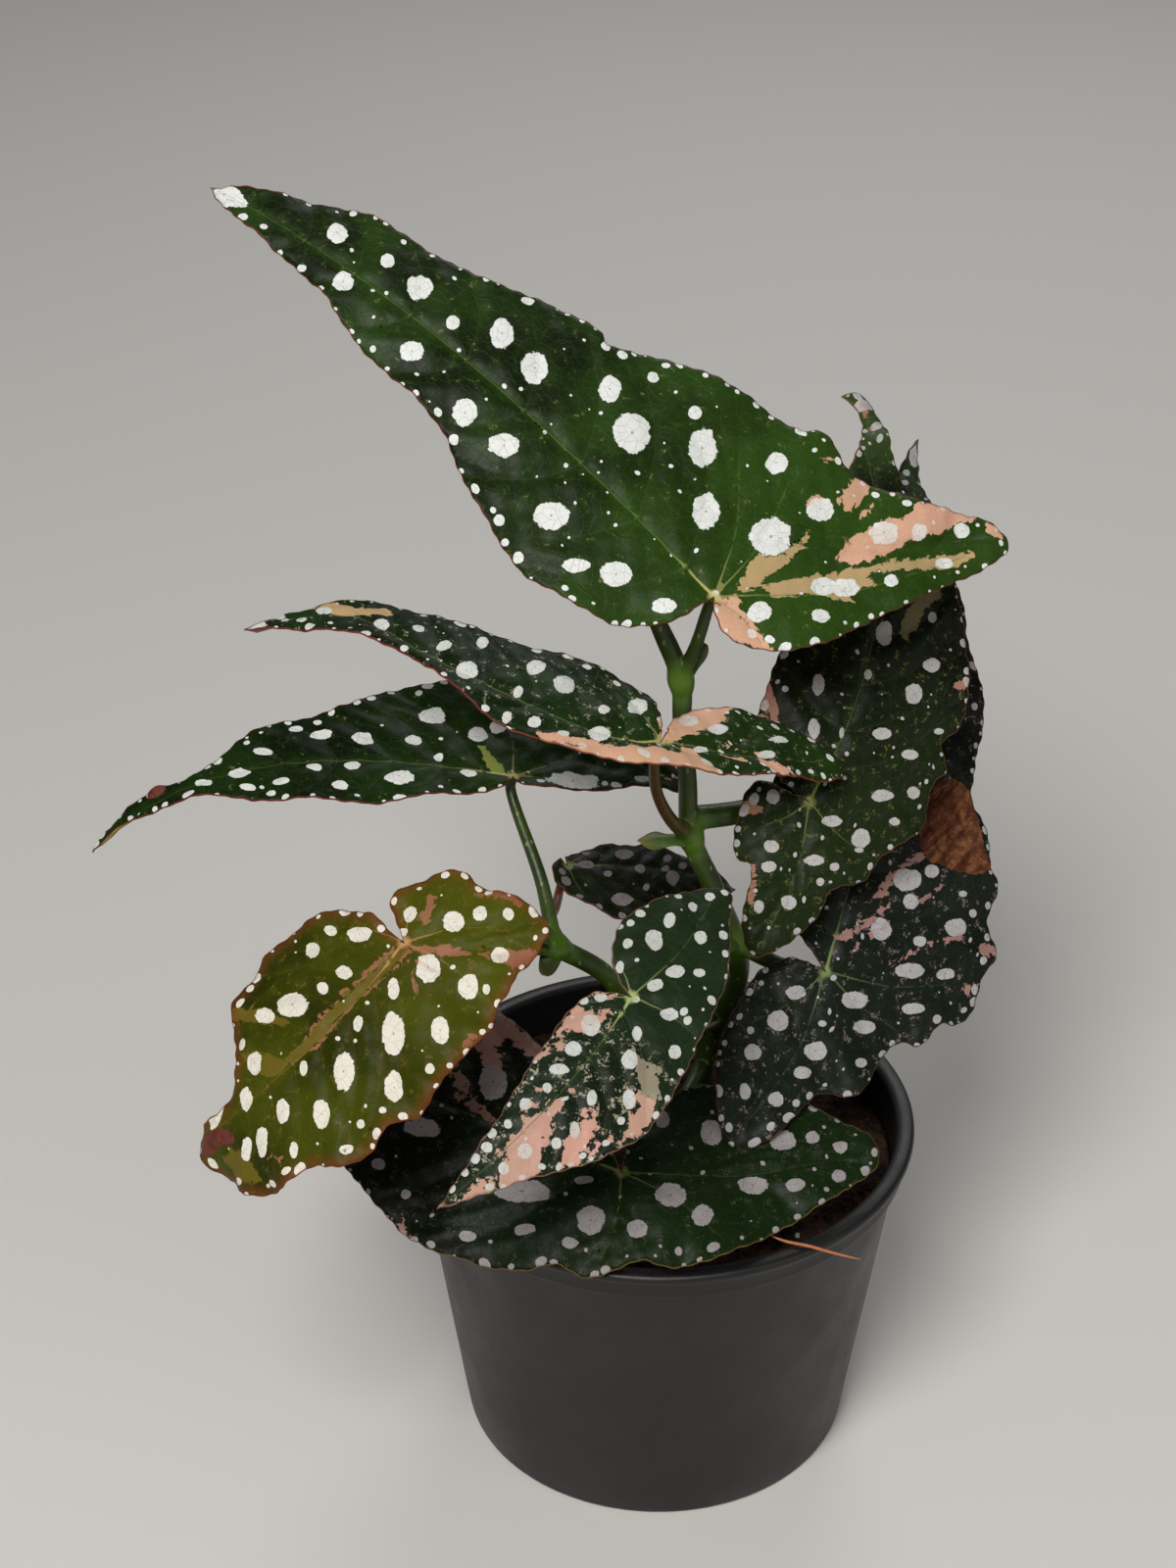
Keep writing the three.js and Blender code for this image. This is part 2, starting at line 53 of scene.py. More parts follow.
# Adds a node. inputs: socket name or number -> a value, a hex colour, or another node's output; or a list
# for the first sockets. With out, gives back that output instead of the node.
def addNode(tree, kind, inputs=(), out=None, **settings):
    node = tree.nodes.new(kind)
    for key, value in settings.items():
        setattr(node, key, value)
    for key, value in inputs.items() if isinstance(inputs, dict) else enumerate(inputs):
        if isinstance(value, bpy.types.NodeSocket):
            tree.links.new(value, node.inputs[key])
        else:
            isHex = isinstance(value, str) and value[0] == "#"
            node.inputs[key].default_value = linear(value) if isHex else value
    return node if out is None else node.outputs[out]


def newMaterial(name, inputs):
    material = bpy.data.materials.new(name)
    material.use_nodes = True
    shader = material.node_tree.nodes["Principled BSDF"]
    for key, value in inputs.items():
        shader.inputs[key].default_value = linear(value) if isinstance(value, str) else value
    return material, material.node_tree, shader


# Sources times their weights, added to a start value.
def weighted(tree, total, pairs):
    for source, weight in pairs:
        total = addNode(tree, "ShaderNodeMath", [source, weight, total], 0, operation="MULTIPLY_ADD")
    return total


# Gives the shader its colour and a bump from this height; depth in mm.
def dress(tree, shader, colour, height, strength, depth):
    bump = addNode(tree, "ShaderNodeBump", {"Height": height, "Strength": strength, "Distance": depth * mm}, 0)
    tree.links.new(colour, shader.inputs["Base Color"])
    tree.links.new(bump, shader.inputs["Normal"])


# A material from a recipe. textures: name -> kind, stretch along z, inputs. tints, from the bottom up: the
# texture or attribute it follows, where it begins and is full, its strength, its colour. relief: the weight
# of each texture, the bump's strength and depth in mm. space: the attribute with the place, if there is one.
def skinFrom(name, settings, base, textures, tints, relief, attributes=(), space=None, rough=None):
    material, tree, shader = newMaterial(name, settings)
    if space:
        place = addNode(tree, "ShaderNodeAttribute", (), "Vector", attribute_name=space)
    else:
        place = addNode(tree, "ShaderNodeTexCoord", (), "Object")
    found = {}
    for label in attributes:
        found[label] = addNode(tree, "ShaderNodeAttribute", (), "Fac", attribute_name=label)
    for label, (kind, stretch, inputs, *feature) in textures.items():
        at = place
        if stretch != 1:
            at = addNode(tree, "ShaderNodeVectorMath", [place, (1.0, 1.0, stretch)], 0, operation="MULTIPLY")
        texture = addNode(tree, "ShaderNodeTex" + kind, {"Vector": at, **inputs})
        if feature:
            texture.feature = feature[0]
        found[label] = texture.outputs["Fac" if kind == "Noise" else "Distance"]
    colour = base
    for label, low, high, top, tint in tints:
        share = addNode(tree, "ShaderNodeMapRange", [found[label], low, high, 0.0, found.get(top, top)], 0)
        colour = addNode(tree, "ShaderNodeMix", {0: share, 6: colour, 7: tint}, 2, data_type="RGBA")
    if rough:
        dullness = addNode(tree, "ShaderNodeMapRange", [found[rough[0]], *rough[1:]], 0)
        tree.links.new(dullness, shader.inputs["Roughness"])
    weights, strength, depth = relief
    height = weighted(tree, 0.0, [(found[label], weight) for label, weight in weights.items()])
    dress(tree, shader, colour, height, strength, depth)
    return material


def linked(name, data):
    item = bpy.data.objects.new(name, data)
    bpy.context.scene.collection.objects.link(item)
    return item


def objectFrom(name, points, faces, materials, materialIndex=None):
    mesh = bpy.data.meshes.new(name)
    mesh.from_pydata((np.asarray(points) * mm).tolist(), [], [list(map(int, f)) for f in faces])
    for material in materials:
        mesh.materials.append(material)
    if materialIndex is not None:
        mesh.polygons.foreach_set("material_index", np.asarray(materialIndex, dtype=np.int32))
    mesh.polygons.foreach_set("use_smooth", np.ones(len(mesh.polygons), dtype=bool))
    mesh.update()
    return linked(name, mesh)


def pointValues(piece, name, values):
    layer = piece.data.attributes.new(name, "FLOAT", "POINT")
    layer.data.foreach_set("value", np.asarray(values, np.float32))


def outwardFaces(piece):
    work = bmesh.new()
    work.from_mesh(piece.data)
    bmesh.ops.recalc_face_normals(work, faces=work.faces)
    work.to_mesh(piece.data)
    work.free()


def settle(piece, node):
    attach(piece, "root")
    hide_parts(node)


def circleOf(sides):
    turn = np.arange(sides) / sides * 2 * np.pi
    return np.stack([np.cos(turn), np.sin(turn)], 1)


def loopEdges(start, count):
    return [(start + j, start + (j + 1) % count) for j in range(count)]


# Quads between two rings, given by the number of each ring's first point.
def band(near, far, sides):
    return [[near + j, far + j, far + (j + 1) % sides, near + (j + 1) % sides] for j in range(sides)]


# The values spread evenly over so many points.
def spread(values, count):
    return np.interp(np.linspace(0, 1, count), np.linspace(0, 1, len(values)), values)


# A smooth curve through the points, cut into even steps.
def smoothCurve(points, spacing):
    p = np.array(points, float)
    p = np.vstack([2 * p[0] - p[1], p, 2 * p[-1] - p[-2]])
    q = np.linspace(0, 1, 17)[1:, None]
    fine = [p[1:2]]
    for a, b, c, d in zip(p[:-3], p[1:-2], p[2:-1], p[3:]):
        ka, kb, kc = [max(np.linalg.norm(v), 1e-6) ** 0.5 for v in (b - a, c - b, d - c)]
        leave = ((b - a) / ka - (c - a) / (ka + kb) + (c - b) / kb) * kb
        arrive = ((c - b) / kb - (d - b) / (kb + kc) + (d - c) / kc) * kb
        fine.append(b + leave * q + (3 * (c - b) - 2 * leave - arrive) * q ** 2
                    + (2 * (b - c) + leave + arrive) * q ** 3)
    fine = np.vstack(fine)
    run = np.concatenate([[0], np.cumsum(np.linalg.norm(np.diff(fine, axis=0), axis=1))])
    marks = np.linspace(0, run[-1], max(2, round(run[-1] / spacing)) + 1)
    return np.stack([np.interp(marks, run, fine[:, i]) for i in range(p.shape[1])], 1)


# Distance from each point to its nearest sample, and which sample that is.
def nearest(points, samples):
    gaps, picks = [], []
    for block in np.array_split(points, max(1, len(points) * len(samples) // 4000000)):
        d = ((block[:, None, :] - samples[None, :, :]) ** 2).sum(2)
        pick = d.argmin(1)
        gaps.append(np.sqrt(d[np.arange(len(block)), pick]))
        picks.append(pick)
    return np.concatenate(gaps), np.concatenate(picks)


def insideLoop(points, loop):
    inside = np.zeros(len(points), bool)
    x, y = points[:, 0], points[:, 1]
    for (x0, y0), (x1, y1) in zip(loop, np.roll(loop, -1, axis=0)):
        crosses = (y0 > y) != (y1 > y)
        if crosses.any():
            inside ^= crosses & (x < (x1 - x0) * (y - y0) / (y1 - y0 + 1e-12) + x0)
    return inside


leaves = [{
    "name": "leaf_top", "slot": "blade_green", "at": [11, 0, 237], "heading": 154, "climb": 35, "roll": -31,
    "length": 158, "bend": 24, "lobeBend": 30, "foldLeft": 10, "foldRight": 8, "bow": -3, "ruffle": 1.2,
    "waves": 8,
    "left": [[1, 4], [2, 9], [6, 15], [13, 21], [28, 25], [36, 26], [59, 20], [71, 14], [104, 10], [117, 6],
        [149, 3]],
    "right": [[-2, 3], [-7, 5], [-18, 0], [-25, -9], [-31, -25], [-38, -44], [-44, -60], [-44, -67],
        [-38, -69], [-29, -64], [-22, -59], [-8, -52], [-3, -51], [8, -53], [13, -49], [27, -47], [49, -38],
        [59, -31], [62, -32], [78, -29], [90, -23], [123, -17], [145, -7]],
    "spots": [[124, -8, 2.9, 2.3, -49], [114, 1, 2.8, 2.5, -41], [110, -10, 2, 1.6, -54],
        [100, -10, 3.6, 3, -58], [88, -8, 1.9, 1.6, -61], [90, 4, 2.9, 2.4, 41], [78, -14, 4.1, 2.8, -55],
        [67, -13, 4.5, 3.2, -57], [71, 7, 3.1, 2.9, -53], [59, 7, 3.6, 2.8, 44], [51, -22, 3.7, 2.6, -59],
        [40, -17, 5.3, 4.4, -72], [26, -27, 5.2, 3.6, -60], [11, -38, 3.1, 2.5, -86],
        [15, -15, 4.8, 3.3, -59], [40, 12, 4.1, 3.2, 45], [20, 12, 3.8, 2.8, 45], [28, 17, 3.1, 1.6, 43],
        [0, -22, 5.5, 4.7, 84], [-4, -37, 3.8, 3.1, 78], [-19, -44, 3.8, 2.9, 65], [-25, -51, 2.3, 1.9, 80],
        [-17, -22, 3.8, 2.2, 52], [-21, -26, 3.9, 2.2, 52], [-10, -5, 3, 2.4, 60], [-21, -15, 2.5, 1.7, 54],
        [-28, -36, 1.9, 1.6, 79], [-35, -51, 2.7, 1.5, 52], [-33, -61, 2.3, 1.9, 77], [7, 10, 2.7, 1.8, 45],
        [39, 24, 1.4, 1.3, -60], [48, 21, 1.4, 1.3, -56], [46, -33, 1.7, 1.4, -78], [33, -33, 1.9, 1.6, -81],
        [153, 0, 6.5, 2.9, 4]],
    "creamPatches": [[[-3, -3], [-2, -7], [-1, -16], [-4, -19], [-5, -24], [-6, -29], [-7, -26], [-7, -20],
        [-6, -14], [-5, -8]], [[-6, -10], [-14, -23], [-24, -38], [-29, -46], [-39, -59], [-38, -53],
        [-34, -47], [-26, -38], [-23, -32], [-26, -33], [-23, -25], [-26, -25], [-18, -20], [-10, -11]]],
    "patches": [[[-1, 5], [-1, 3], [-5, -2], [-10, -2], [-19, 0], [-15, 2], [-10, 5], [-6, 7]], [[-15, -29],
        [-14, -34], [-17, -46], [-20, -51], [-20, -56], [-22, -59], [-28, -65], [-33, -67], [-30, -58],
        [-27, -52], [-23, -42], [-21, -35]], [[-6, -42], [-5, -48], [-5, -52], [-9, -53], [-10, -48],
        [-9, -42]], [[-36, -68], [-40, -69], [-42, -67], [-38, -65]], [[-1, 0], [-5, -6], [-5, -2]]],
    "blush": [[0.7, [-1, -36], [-2, -39]], [0.6, [2, -50], [4, -47]], [0.5, [-12, -44], [-13, -48]]],
    "mottle": 4, "gloss": 0.12, "lobeVeins": [[-40, -60], [6, -38], [20, -35], [-16, 0]],
    "look": ["#101b07", "#263f13", "#325312", "#63783d", "#e4e8e6", "#dcab92", "#b49b70", "#6a3020",
        "#c2b878", "#837d4f"],
}, {
    "name": "leaf_upper_left", "slot": "blade_green", "at": [-1, -12, 206], "heading": 162, "climb": 23,
    "roll": -2, "length": 109, "bend": 52, "lobeBend": 35, "foldLeft": 8, "foldRight": 4, "bow": 6,
    "ruffle": 0.8, "waves": 6,
    "midrib": [[0, 0], [4, 4], [13, 8.5], [34, 11], [57, 8], [83, -3], [109, 0]],
    "left": [[0, -3], [0, -11], [-3, -19], [-20, -34], [-28, -37], [-36, -37], [-41, -35], [-42, -31],
        [-35, -22], [-12, 2], [6, 13], [28, 21], [50, 15], [63, 9], [80, 6], [100, 2]],
    "right": [[1, -3], [4, -10], [7, -15], [13, -16], [33, -13], [53, -9], [73, -11], [90, -9], [103, -6]],
    "spots": [[47, 9, 3.1, 2.4, 88], [55, 3, 2.3, 1.7, 88], [72, 0, 2.5, 1.8, -64], [48, -4, 2.3, 1.4, -80],
        [34, -3, 3.2, 2, 89], [26, -1, 4.3, 2.5, -86], [34, 9, 1.8, 1.1, -80], [9, -8, 4, 2.2, 89],
        [15, 1, 2.1, 1.3, 86], [27, 16, 1.8, 1.4, 69], [20, 15, 1.6, 1.1, 62], [13, 9, 3.4, 2, 53],
        [-3, -13, 3.5, 2, 75], [-10, -15, 3.3, 1.6, 61], [-24, -27, 3.5, 1.2, 57], [-23, -18, 3.4, 1.2, 57],
        [-9, -5, 2.5, 1.2, 59], [33, 18, 1.7, 1.1, -80], [89, -5, 2.5, 1.5, -28], [63, -1, 1.9, 1.4, -75],
        [105, -1.5, 2.2, 1.3, -60], [101, -4.5, 2.4, 1.2, -40], [98, -1.5, 1.6, 0.8, -30],
        [96.5, -6, 1.8, 1, -30], [105.5, -0.5, 4, 2, -30]],
    "creamPatches": [[[91, -9], [86, -8.5], [81, -6.5], [74, -8], [72, -5.5], [80, -3], [86, -3.5],
        [91, -5.5]]],
    "patches": [[[2, -3], [3, -8], [2, -12], [-1, -18], [-5, -22], [-12, -28], [-10, -23], [-10, -19],
        [-8, -13], [-5, -7], [-1, 0]], [[25, 19], [20, 16], [11, 11], [5, 8], [2, 6], [0, 3], [-3, 3],
        [-5, 1], [-5, -2], [-7, -3], [-13, -2], [-16, -2], [-11, 5], [-3, 9], [4, 13], [14, 18], [23, 21]],
        [[-20, -14], [-26, -17], [-31, -18], [-28, -14], [-24, -13]]],
    "blush": [[1, [95, -8], [92, -7]], [0.5, [-14, -12], [-22, -17]], [0.5, [-13, -8], [-19, -11]]],
    "dense": [[80, 108, 46], [-38, -8, 34]], "mottle": 3, "fleckShare": 0.85, "gloss": 0.07, "freckle": 0.05,
    "lobeVeins": [[-38, -34], [-14, -4], [20, -14]],
    "look": ["#0b1708", "#192e10", "#243c13", "#617444", "#d6dad6", "#d8a88c", "#bda077", "#7c3428",
        "#b9b070", "#a09c80"],
}, {
    "name": "leaf_middle_left", "slot": "blade_green", "at": [-36, 8, 185], "heading": -173, "climb": 11,
    "roll": -6, "length": 109, "bend": 62, "lobeBend": 25, "foldLeft": 8, "foldRight": -14, "bow": -2,
    "ruffle": 0.8, "waves": 6,
    "left": [[1, 3], [6, 6], [23, 11], [38, 13], [59, 10], [76, 4], [84, 2.2], [91, 0.9], [97, -0.3],
        [103, -0.1]],
    "right": [[-1, 3], [-8, 4], [-19, 1], [-29, -2.5], [-39, -4.6], [-47, -6], [-48, -8], [-45, -12],
        [-33, -21], [-20, -27], [-5, -30], [11, -30], [18, -29], [27, -27], [43, -19], [59, -16], [70, -9],
        [82, -5], [92, -4.5], [100, -4.2], [107, -3]],
    "spots": [[19, -18, 3.4, 2.9, 24], [8, -13, 2.8, 2.3, 60], [24, -9, 2.2, 1.9, 31], [36, -9, 2.6, 2.3, 10],
        [46, -11, 2.8, 1.6, -5], [52, -14, 1.7, 1.3, -16], [28, 5, 3.5, 2.4, 8], [39, 1, 1.9, 1.8, 28],
        [48, 1, 1.9, 1.4, -13], [11, 1, 2.2, 1.5, 17], [-15, -1, 7.4, 2.9, 17], [60, -7, 2.4, 1.6, -22],
        [66, -1, 3, 1.8, -33], [75, -1, 2.7, 1.3, -37], [56, 5, 2.2, 1.4, -17], [3, -16, 2.1, 1.8, 47],
        [64, 5, 2, 1, -21], [42, 8, 1.9, 1.4, -3], [18, -4, 1.5, 1.2, 69], [-24, 0, 1.6, 0.7, 10],
        [-33, -6, 2.2, 0.9, 12], [-27, -18, 2.6, 1.8, 20], [-12, -24, 2.8, 2, 30]],
    "creamPatches": [[[8, -9], [7, -9], [5, -6], [2, -1], [4, 0], [6, -2], [7, -5]]],
    "blush": [[0.6, [-38, -9], [-43, -9]]], "dense": [[60, 104, 20]], "gloss": 0.07,
    "turned": [[88.5, -5], [86, -5.5], [84.5, -4], [86.5, -2.6], [89.5, -3.2]],
    "lobeVeins": [[-42, -8], [-24, -20], [2, -26], [-14, 1]],
    "look": ["#081304", "#162a08", "#223a0c", "#5b6e38", "#dce0dd", "#c8917a", "#7f8a42", "#6a2c20",
        "#b0a868", "#6e7145"],
}, {
    "name": "leaf_olive", "slot": "blade_olive", "at": [-60, -45, 172], "heading": -155, "climb": -27,
    "roll": -23, "length": 72, "bend": 55, "lobeBend": 30, "foldLeft": 8, "foldRight": 12, "bow": 7,
    "ruffle": 1.2, "waves": 9,
    "left": [[-1, -4], [-3, -11], [-7, -12], [-14, -11], [-21, -6], [-22, -1], [-29, 10], [-29, 17],
        [-22, 21], [-17, 22], [-13, 25], [-8, 26], [-4, 30], [6, 31], [20, 36], [25, 34], [34, 35], [41, 34],
        [48, 28], [61, 25], [69, 18], [73, 8]],
    "right": [[1, -5], [2, -11], [8, -19], [19, -22], [32, -20], [41, -17], [46, -11], [48, -4], [53, 0],
        [60, 1], [67, -1]],
    "spots": [[-12, 3, 2.7, 2.4, 75], [-18, 5, 1.8, 1.6, 68], [-23, 9, 1.4, 1.3, 61], [-5, -5, 2.1, 1.7, 84],
        [-16, 16, 2.2, 2.1, 65], [-9, 21, 1, 0.9, 72], [-6, 18, 3, 2.4, 59], [-1, 9, 3.5, 2.8, 62],
        [8, 8, 2.6, 1.4, 58], [15, -3, 2.3, 1.7, -62], [21, -3, 1.7, 1.3, -79], [18, -14, 2.4, 1.9, -81],
        [7, -9, 3.3, 1.9, -51], [12, -15, 1.7, 1.3, -84], [29, -5, 4.3, 3, -58], [36, -8, 2.8, 1.8, -53],
        [14, 17, 5, 2.6, 57], [5, 23, 2.9, 2.2, 59], [19, 10, 1.8, 1.2, 60], [28, 17, 4.5, 2.5, 55],
        [21, 27, 3.7, 2.2, 55], [12, 29, 1.4, 1, 57], [38, 21, 3.3, 2.1, 52], [45, 14, 2.8, 1.8, 49],
        [35, 10, 1.9, 1.1, 56], [44, 0, 2.8, 2, 72], [54, 15, 3.5, 1.7, 40], [59, 13, 3, 1.4, 34],
        [49, 22, 2, 1, 43], [51, 5, 2.8, 1.8, 49], [32, 29, 1.1, 1, -50], [26, 30, 0.9, 0.8, -59],
        [61, 1.4, 3.4, 1.3, 10]],
    "turned": [[68, 1], [64, 2.5], [61, 5], [59, 8.5], [60, 9.5], [64, 7], [69, 5.5], [71, 3]],
    "patches": [[[-12, 11], [-15, 15], [-19, 16], [-23, 19], [-23, 21], [-18, 21], [-16, 20], [-15, 17],
        [-12, 14]], [[-11.1, -6.9], [-12.5, -4.7], [-9.7, -1.9], [-6.7, 0.4], [-6.1, -1.7], [-9.2, -4.1]],
        [[-18, -3], [-21, 0], [-24, 2], [-27, 9], [-25, 6], [-23, 4], [-20, 1]], [[-1, 2], [-5, 5], [-9, 9],
        [-12, 13], [-9, 12], [-5, 8], [0, 3]]],
    "creamPatches": [[[42, -16], [38, -12], [34, -7], [32, -2], [37, -5], [40, -10], [44, -14]], [[47, -6],
        [43, -3], [39, 3], [38, 7], [42, 6], [46, -2]], [[60, 12], [66, 9], [68, 14], [62, 20]], [[1, 0],
        [7, 1.2], [14, 1.8], [22, 2.8], [30, 4.6], [38, 5.6], [38, 7], [30, 7.2], [22, 5.8], [14, 4.8],
        [7, 4.2], [1, 2.4]]],
    "blush": [[0.65, [3, 0.3], [8, 1], [15, 1.7], [23, 2.9], [31, 4.9]], [0.65, [2, 3.2], [8, 4.3], [15, 5],
        [23, 6.2], [31, 7.6]], [0.4, [1.4, 2.3], [2.9, 8], [5.3, 13.5]], [0.3, [0.6, 2.4], [-0.5, 7.7],
        [-1.8, 13]], [0.8, [0, 29], [2, 29]], [0.3, [52, 22], [56, 18]], [0.6, [66, 8], [68, 14]]],
    "mottle": 4, "gloss": 0.05, "flush": 0.45, "fleckShare": 0.5, "freckle": 0.03, "lobeVeins": [[-24, 14],
    [-6, -9], [-8, 24], [14, -19]],
    "look": ["#272d04", "#41480a", "#575b10", "#8a6c34", "#e6e2d6", "#98664e", "#655a1e", "#7a3a24",
        "#c49a68", "#8a6a40"],
}, {
    "name": "leaf_front", "slot": "blade_green", "at": [-8, -48, 159], "heading": -134, "climb": -18,
    "roll": -25, "length": 67, "bend": 40, "lobeBend": 30, "foldLeft": 10, "foldRight": 8, "bow": 4,
    "ruffle": 0.6, "waves": 6,
    "left": [[-1, -4], [-3, -8], [-7, -12], [-15, -15], [-25, -13], [-36, -8], [-40, -3], [-32, 4], [-19, 13],
        [-4, 18], [13, 23], [22, 24], [33, 21], [48, 12], [61, 4]],
    "right": [[1.4, -3.4], [5, -7], [12, -8], [26, -6], [41, -3], [55, -1]],
    "spots": [[-15, -6, 3, 2.1, 34], [-22, -7, 2.3, 1.3, 34], [-30, -6, 1.6, 1.2, 23], [-24, 1, 2, 1.4, 24],
        [-15, -13, 1.1, 0.9, 29], [-4, -7, 1.6, 1.1, 37], [-12, 3, 2.2, 1.7, -28], [-16, 7, 1.5, 1, -32],
        [-6, 2, 2, 1.6, -28], [-3, 9, 2.2, 1.6, -35], [-6, 11, 1.1, 0.9, 6], [-5, 13, 1.1, 0.9, 5],
        [6, 7, 1.9, 1.1, 38], [3, 16, 1.7, 1.5, 5], [5, -5, 1.6, 1.1, -46], [12, -2, 2.6, 2.2, 39],
        [19, -1, 1.9, 1.8, -46], [25, 0, 2.1, 1.3, -48], [30, 1, 1.2, 1.1, 48], [36, 0, 1.4, 1.4, 62],
        [25, 10, 1.8, 1.1, 40], [12, 10, 2.3, 1.8, 35], [19, 16, 2.4, 1.5, 39], [24, 18, 1, 0.9, 3],
        [33, 12, 2, 1.1, 41], [38, 11, 1.4, 1.2, 38], [44, 7, 1.8, 1.6, 42], [50, 6, 1.6, 1.2, 41],
        [49, 0, 1.3, 1.2, -79], [42, 0, 1.1, 0.9, 47]],
    "patches": [[[11, -8], [9, -4], [6, -1], [10, 0], [14, -1], [17, -5], [22, -6], [17, -7]], [[26, 5],
        [35, 7], [39, 9], [48, 13], [50, 12], [55, 9], [51, 6], [47, 6], [49, 3], [42, 3], [36, 3]],
        [[27, 11], [28, 14], [37, 18], [41, 16], [36, 12], [31, 12]], [[6, -8], [4, -7], [0, -5], [3, -3]],
        [[60, 4], [55, 3], [56, 8], [60, 6], [68, 0]], [[14, 20.5], [18.2, 23], [24, 23], [27, 22],
        [20.3, 18.5], [16.5, 16]]],
    "creamPatches": [[[10.5, 8], [9, 14], [11.4, 18.5], [14.8, 20.5], [16, 18], [14, 14], [13, 10]]],
    "mottle": 8, "fleckShare": 0.9, "gloss": 0.1, "freckle": 0.1, "freckleFrom": 8, "dense": [[20, 60, 24]],
    "blush": [[0.8, [21, -4], [25, -5]], [0.7, [29, 19], [34, 18]], [0.6, [32, 0], [38, 0]]],
    "lobeVeins": [[-36, -4], [-5, -9], [-4, 18], [8, -6]],
    "look": ["#0d150c", "#182517", "#26381e", "#52683f", "#c8ccc8", "#cb9a8a", "#8d8672", "#84604e",
        "#a8b878", "#a4a08a"],
}, {
    "name": "leaf_right", "slot": "blade_dark", "at": [36, 12, 175], "heading": 78, "climb": 54, "roll": 17,
    "length": 109, "bend": 35, "lobeBend": 25, "foldLeft": 14, "foldRight": 10, "bow": -12, "ruffle": 1.2,
    "waves": 8,
    "left": [[1.6, 3], [8, 12], [14, 15], [25, 14], [40, 10], [58, 6], [80, -1.2], [85.7, -2.3], [90.7, -3.6],
        [96.1, -5.3], [101.4, -5.8], [105.3, -4.9], [108, -2.6]],
    "right": [[1, 3.5], [4, 12], [0, 16], [-7, 17], [-16, 16], [-17, 12.5], [-26, 12.5], [-34, 12], [-39, 9],
        [-38, 5], [-29, -5], [-21, -8], [-17, -17], [-11, -20], [-2, -30], [9, -31], [12, -34], [19, -32],
        [23, -36], [39, -37], [54, -33], [68, -28], [80, -21.5], [86, -16.5], [91, -13.8], [98.9, -12.5],
        [105.7, -10.6], [110.1, -7.2], [111.1, -3.3]],
    "spots": [[44, -14, 3.1, 2, 2], [50, -26, 1.5, 1.1, -1], [38, -27, 2.2, 1.8, -73],
        [30, -23, 2.4, 2.3, -17], [33, -11, 1.3, 1, 2], [29, 1, 2.7, 1.5, 5], [18, 1, 2.5, 1.4, 5],
        [27, 9, 0.8, 0.8, 4], [18, 10, 1.1, 1.1, 1], [19, -16, 2.4, 1.5, -80], [15, -24, 2.1, 1.3, -81],
        [22, -31, 1.4, 0.8, -80], [4, -18, 3, 1.5, -81], [6, -26, 1.8, 1.5, -81], [-4, -6, 2.6, 1.4, -82],
        [-7, -14, 2.4, 2.3, -79], [-2, -22, 1.4, 1, -81], [-10, -14, 1.2, 0.7, -82], [-12, 8, 1.9, 1.5, -82],
        [0, 9, 1.7, 1.7, 0], [-14, -3, 2.5, 1.3, -82], [-15, -8, 1.2, 1.1, -87], [-19, -5, 1, 1, 88],
        [-17, 8, 1.8, 1.4, -82], [-25, 2, 1.9, 1.9, 55], [-27, 9, 1.7, 1.2, 7], [108, -6.3, 3, 1.7, -60],
        [102, -9.6, 2.4, 1.2, -35], [110, -4.5, 1.8, 1.1, 50], [97, -10, 1.6, 0.8, -20]],
    "mottle": 3, "fleckShare": 0.7, "gloss": 0.1, "tip": 0.6, "freckle": 0.05, "dense": [[-36, 20, 40],
    [92, 111, 40]],
    "patches": [[[28, 13], [26, 12], [22, 10], [20, 11], [23, 15], [25, 14]], [[20, 16], [20, 13], [18, 10],
        [17, 13]], [[-2, 17], [-1, 15], [-4, 11], [-5, 14], [-5, 17]]],
    "creamPatches": [[[58, -25], [57, -28], [51.5, -24], [46.6, -22], [43, -19], [46, -17.5], [51.5, -19.5],
        [55, -22]]],
    "blush": [[0.8, [-18, 12], [-26, 11]], [1, [33.6, -34], [35, -37]], [0.6, [99, -8], [104, -7],
        [108, -6]]],
    "lobeVeins": [[-34, 6], [-12, -18], [-8, 12]],
    # partly the leaf's own dark green, partly painted shade: tissue, spots and patches are darkened and the
    # silver spots greyed, as for a leaf lying in low light
    "look": ["#0a0e06", "#131b0b", "#223112", "#546435", "#b6b4b4", "#a07264", "#6e6848", "#6a4a28",
        "#8a9a50", "#6a7038"],
}, {
    "name": "leaf_lower_right", "slot": "blade_dark", "at": [41, 2, 132], "heading": 71, "climb": 46,
    "roll": 25, "length": 153, "bend": 30, "lobeBend": 25, "foldLeft": 10, "foldRight": 12, "bow": -3,
    "ruffle": 1.4, "waves": 9,
    "left": [[2.6, 3.2], [7, 8.6], [14, 15], [23, 20], [36, 22], [51, 23], [68, 22], [103, 15], [137, 5],
        [146, 3]],
    "right": [[1, 4], [1, 10], [-4, 16], [-20, 21], [-35, 20], [-46, 15], [-48, 10], [-42, 3], [-33, -3],
        [-30, -6], [-28, -15], [-19, -19], [-12, -24], [-12, -29], [-5, -33], [-4, -38], [1, -42], [10, -42],
        [16, -45], [24, -41], [34, -41], [38, -38], [47, -36], [54, -29], [74, -29], [84, -26], [110, -15],
        [137, -3]],
    "spots": [[28, -16, 3.9, 2.9, -70], [23, -18, 2.2, 1.9, -63], [20, -32, 3.2, 2.3, -71],
        [14, -23, 1.8, 1.4, -71], [14, -12, 2.9, 2.8, -27], [29, -32, 1.2, 0.8, -70], [25, -36, 1.2, 1, -64],
        [6, -22, 4, 1.9, -74], [8, -32, 2.4, 1.4, -73], [-5, -9, 3.6, 2.3, -74], [-3, -25, 2.9, 1.4, -74],
        [-11, -13, 3.2, 1.8, -75], [-20, -2, 2.9, 2.4, -74], [-20, -14, 1.8, 1.2, -76],
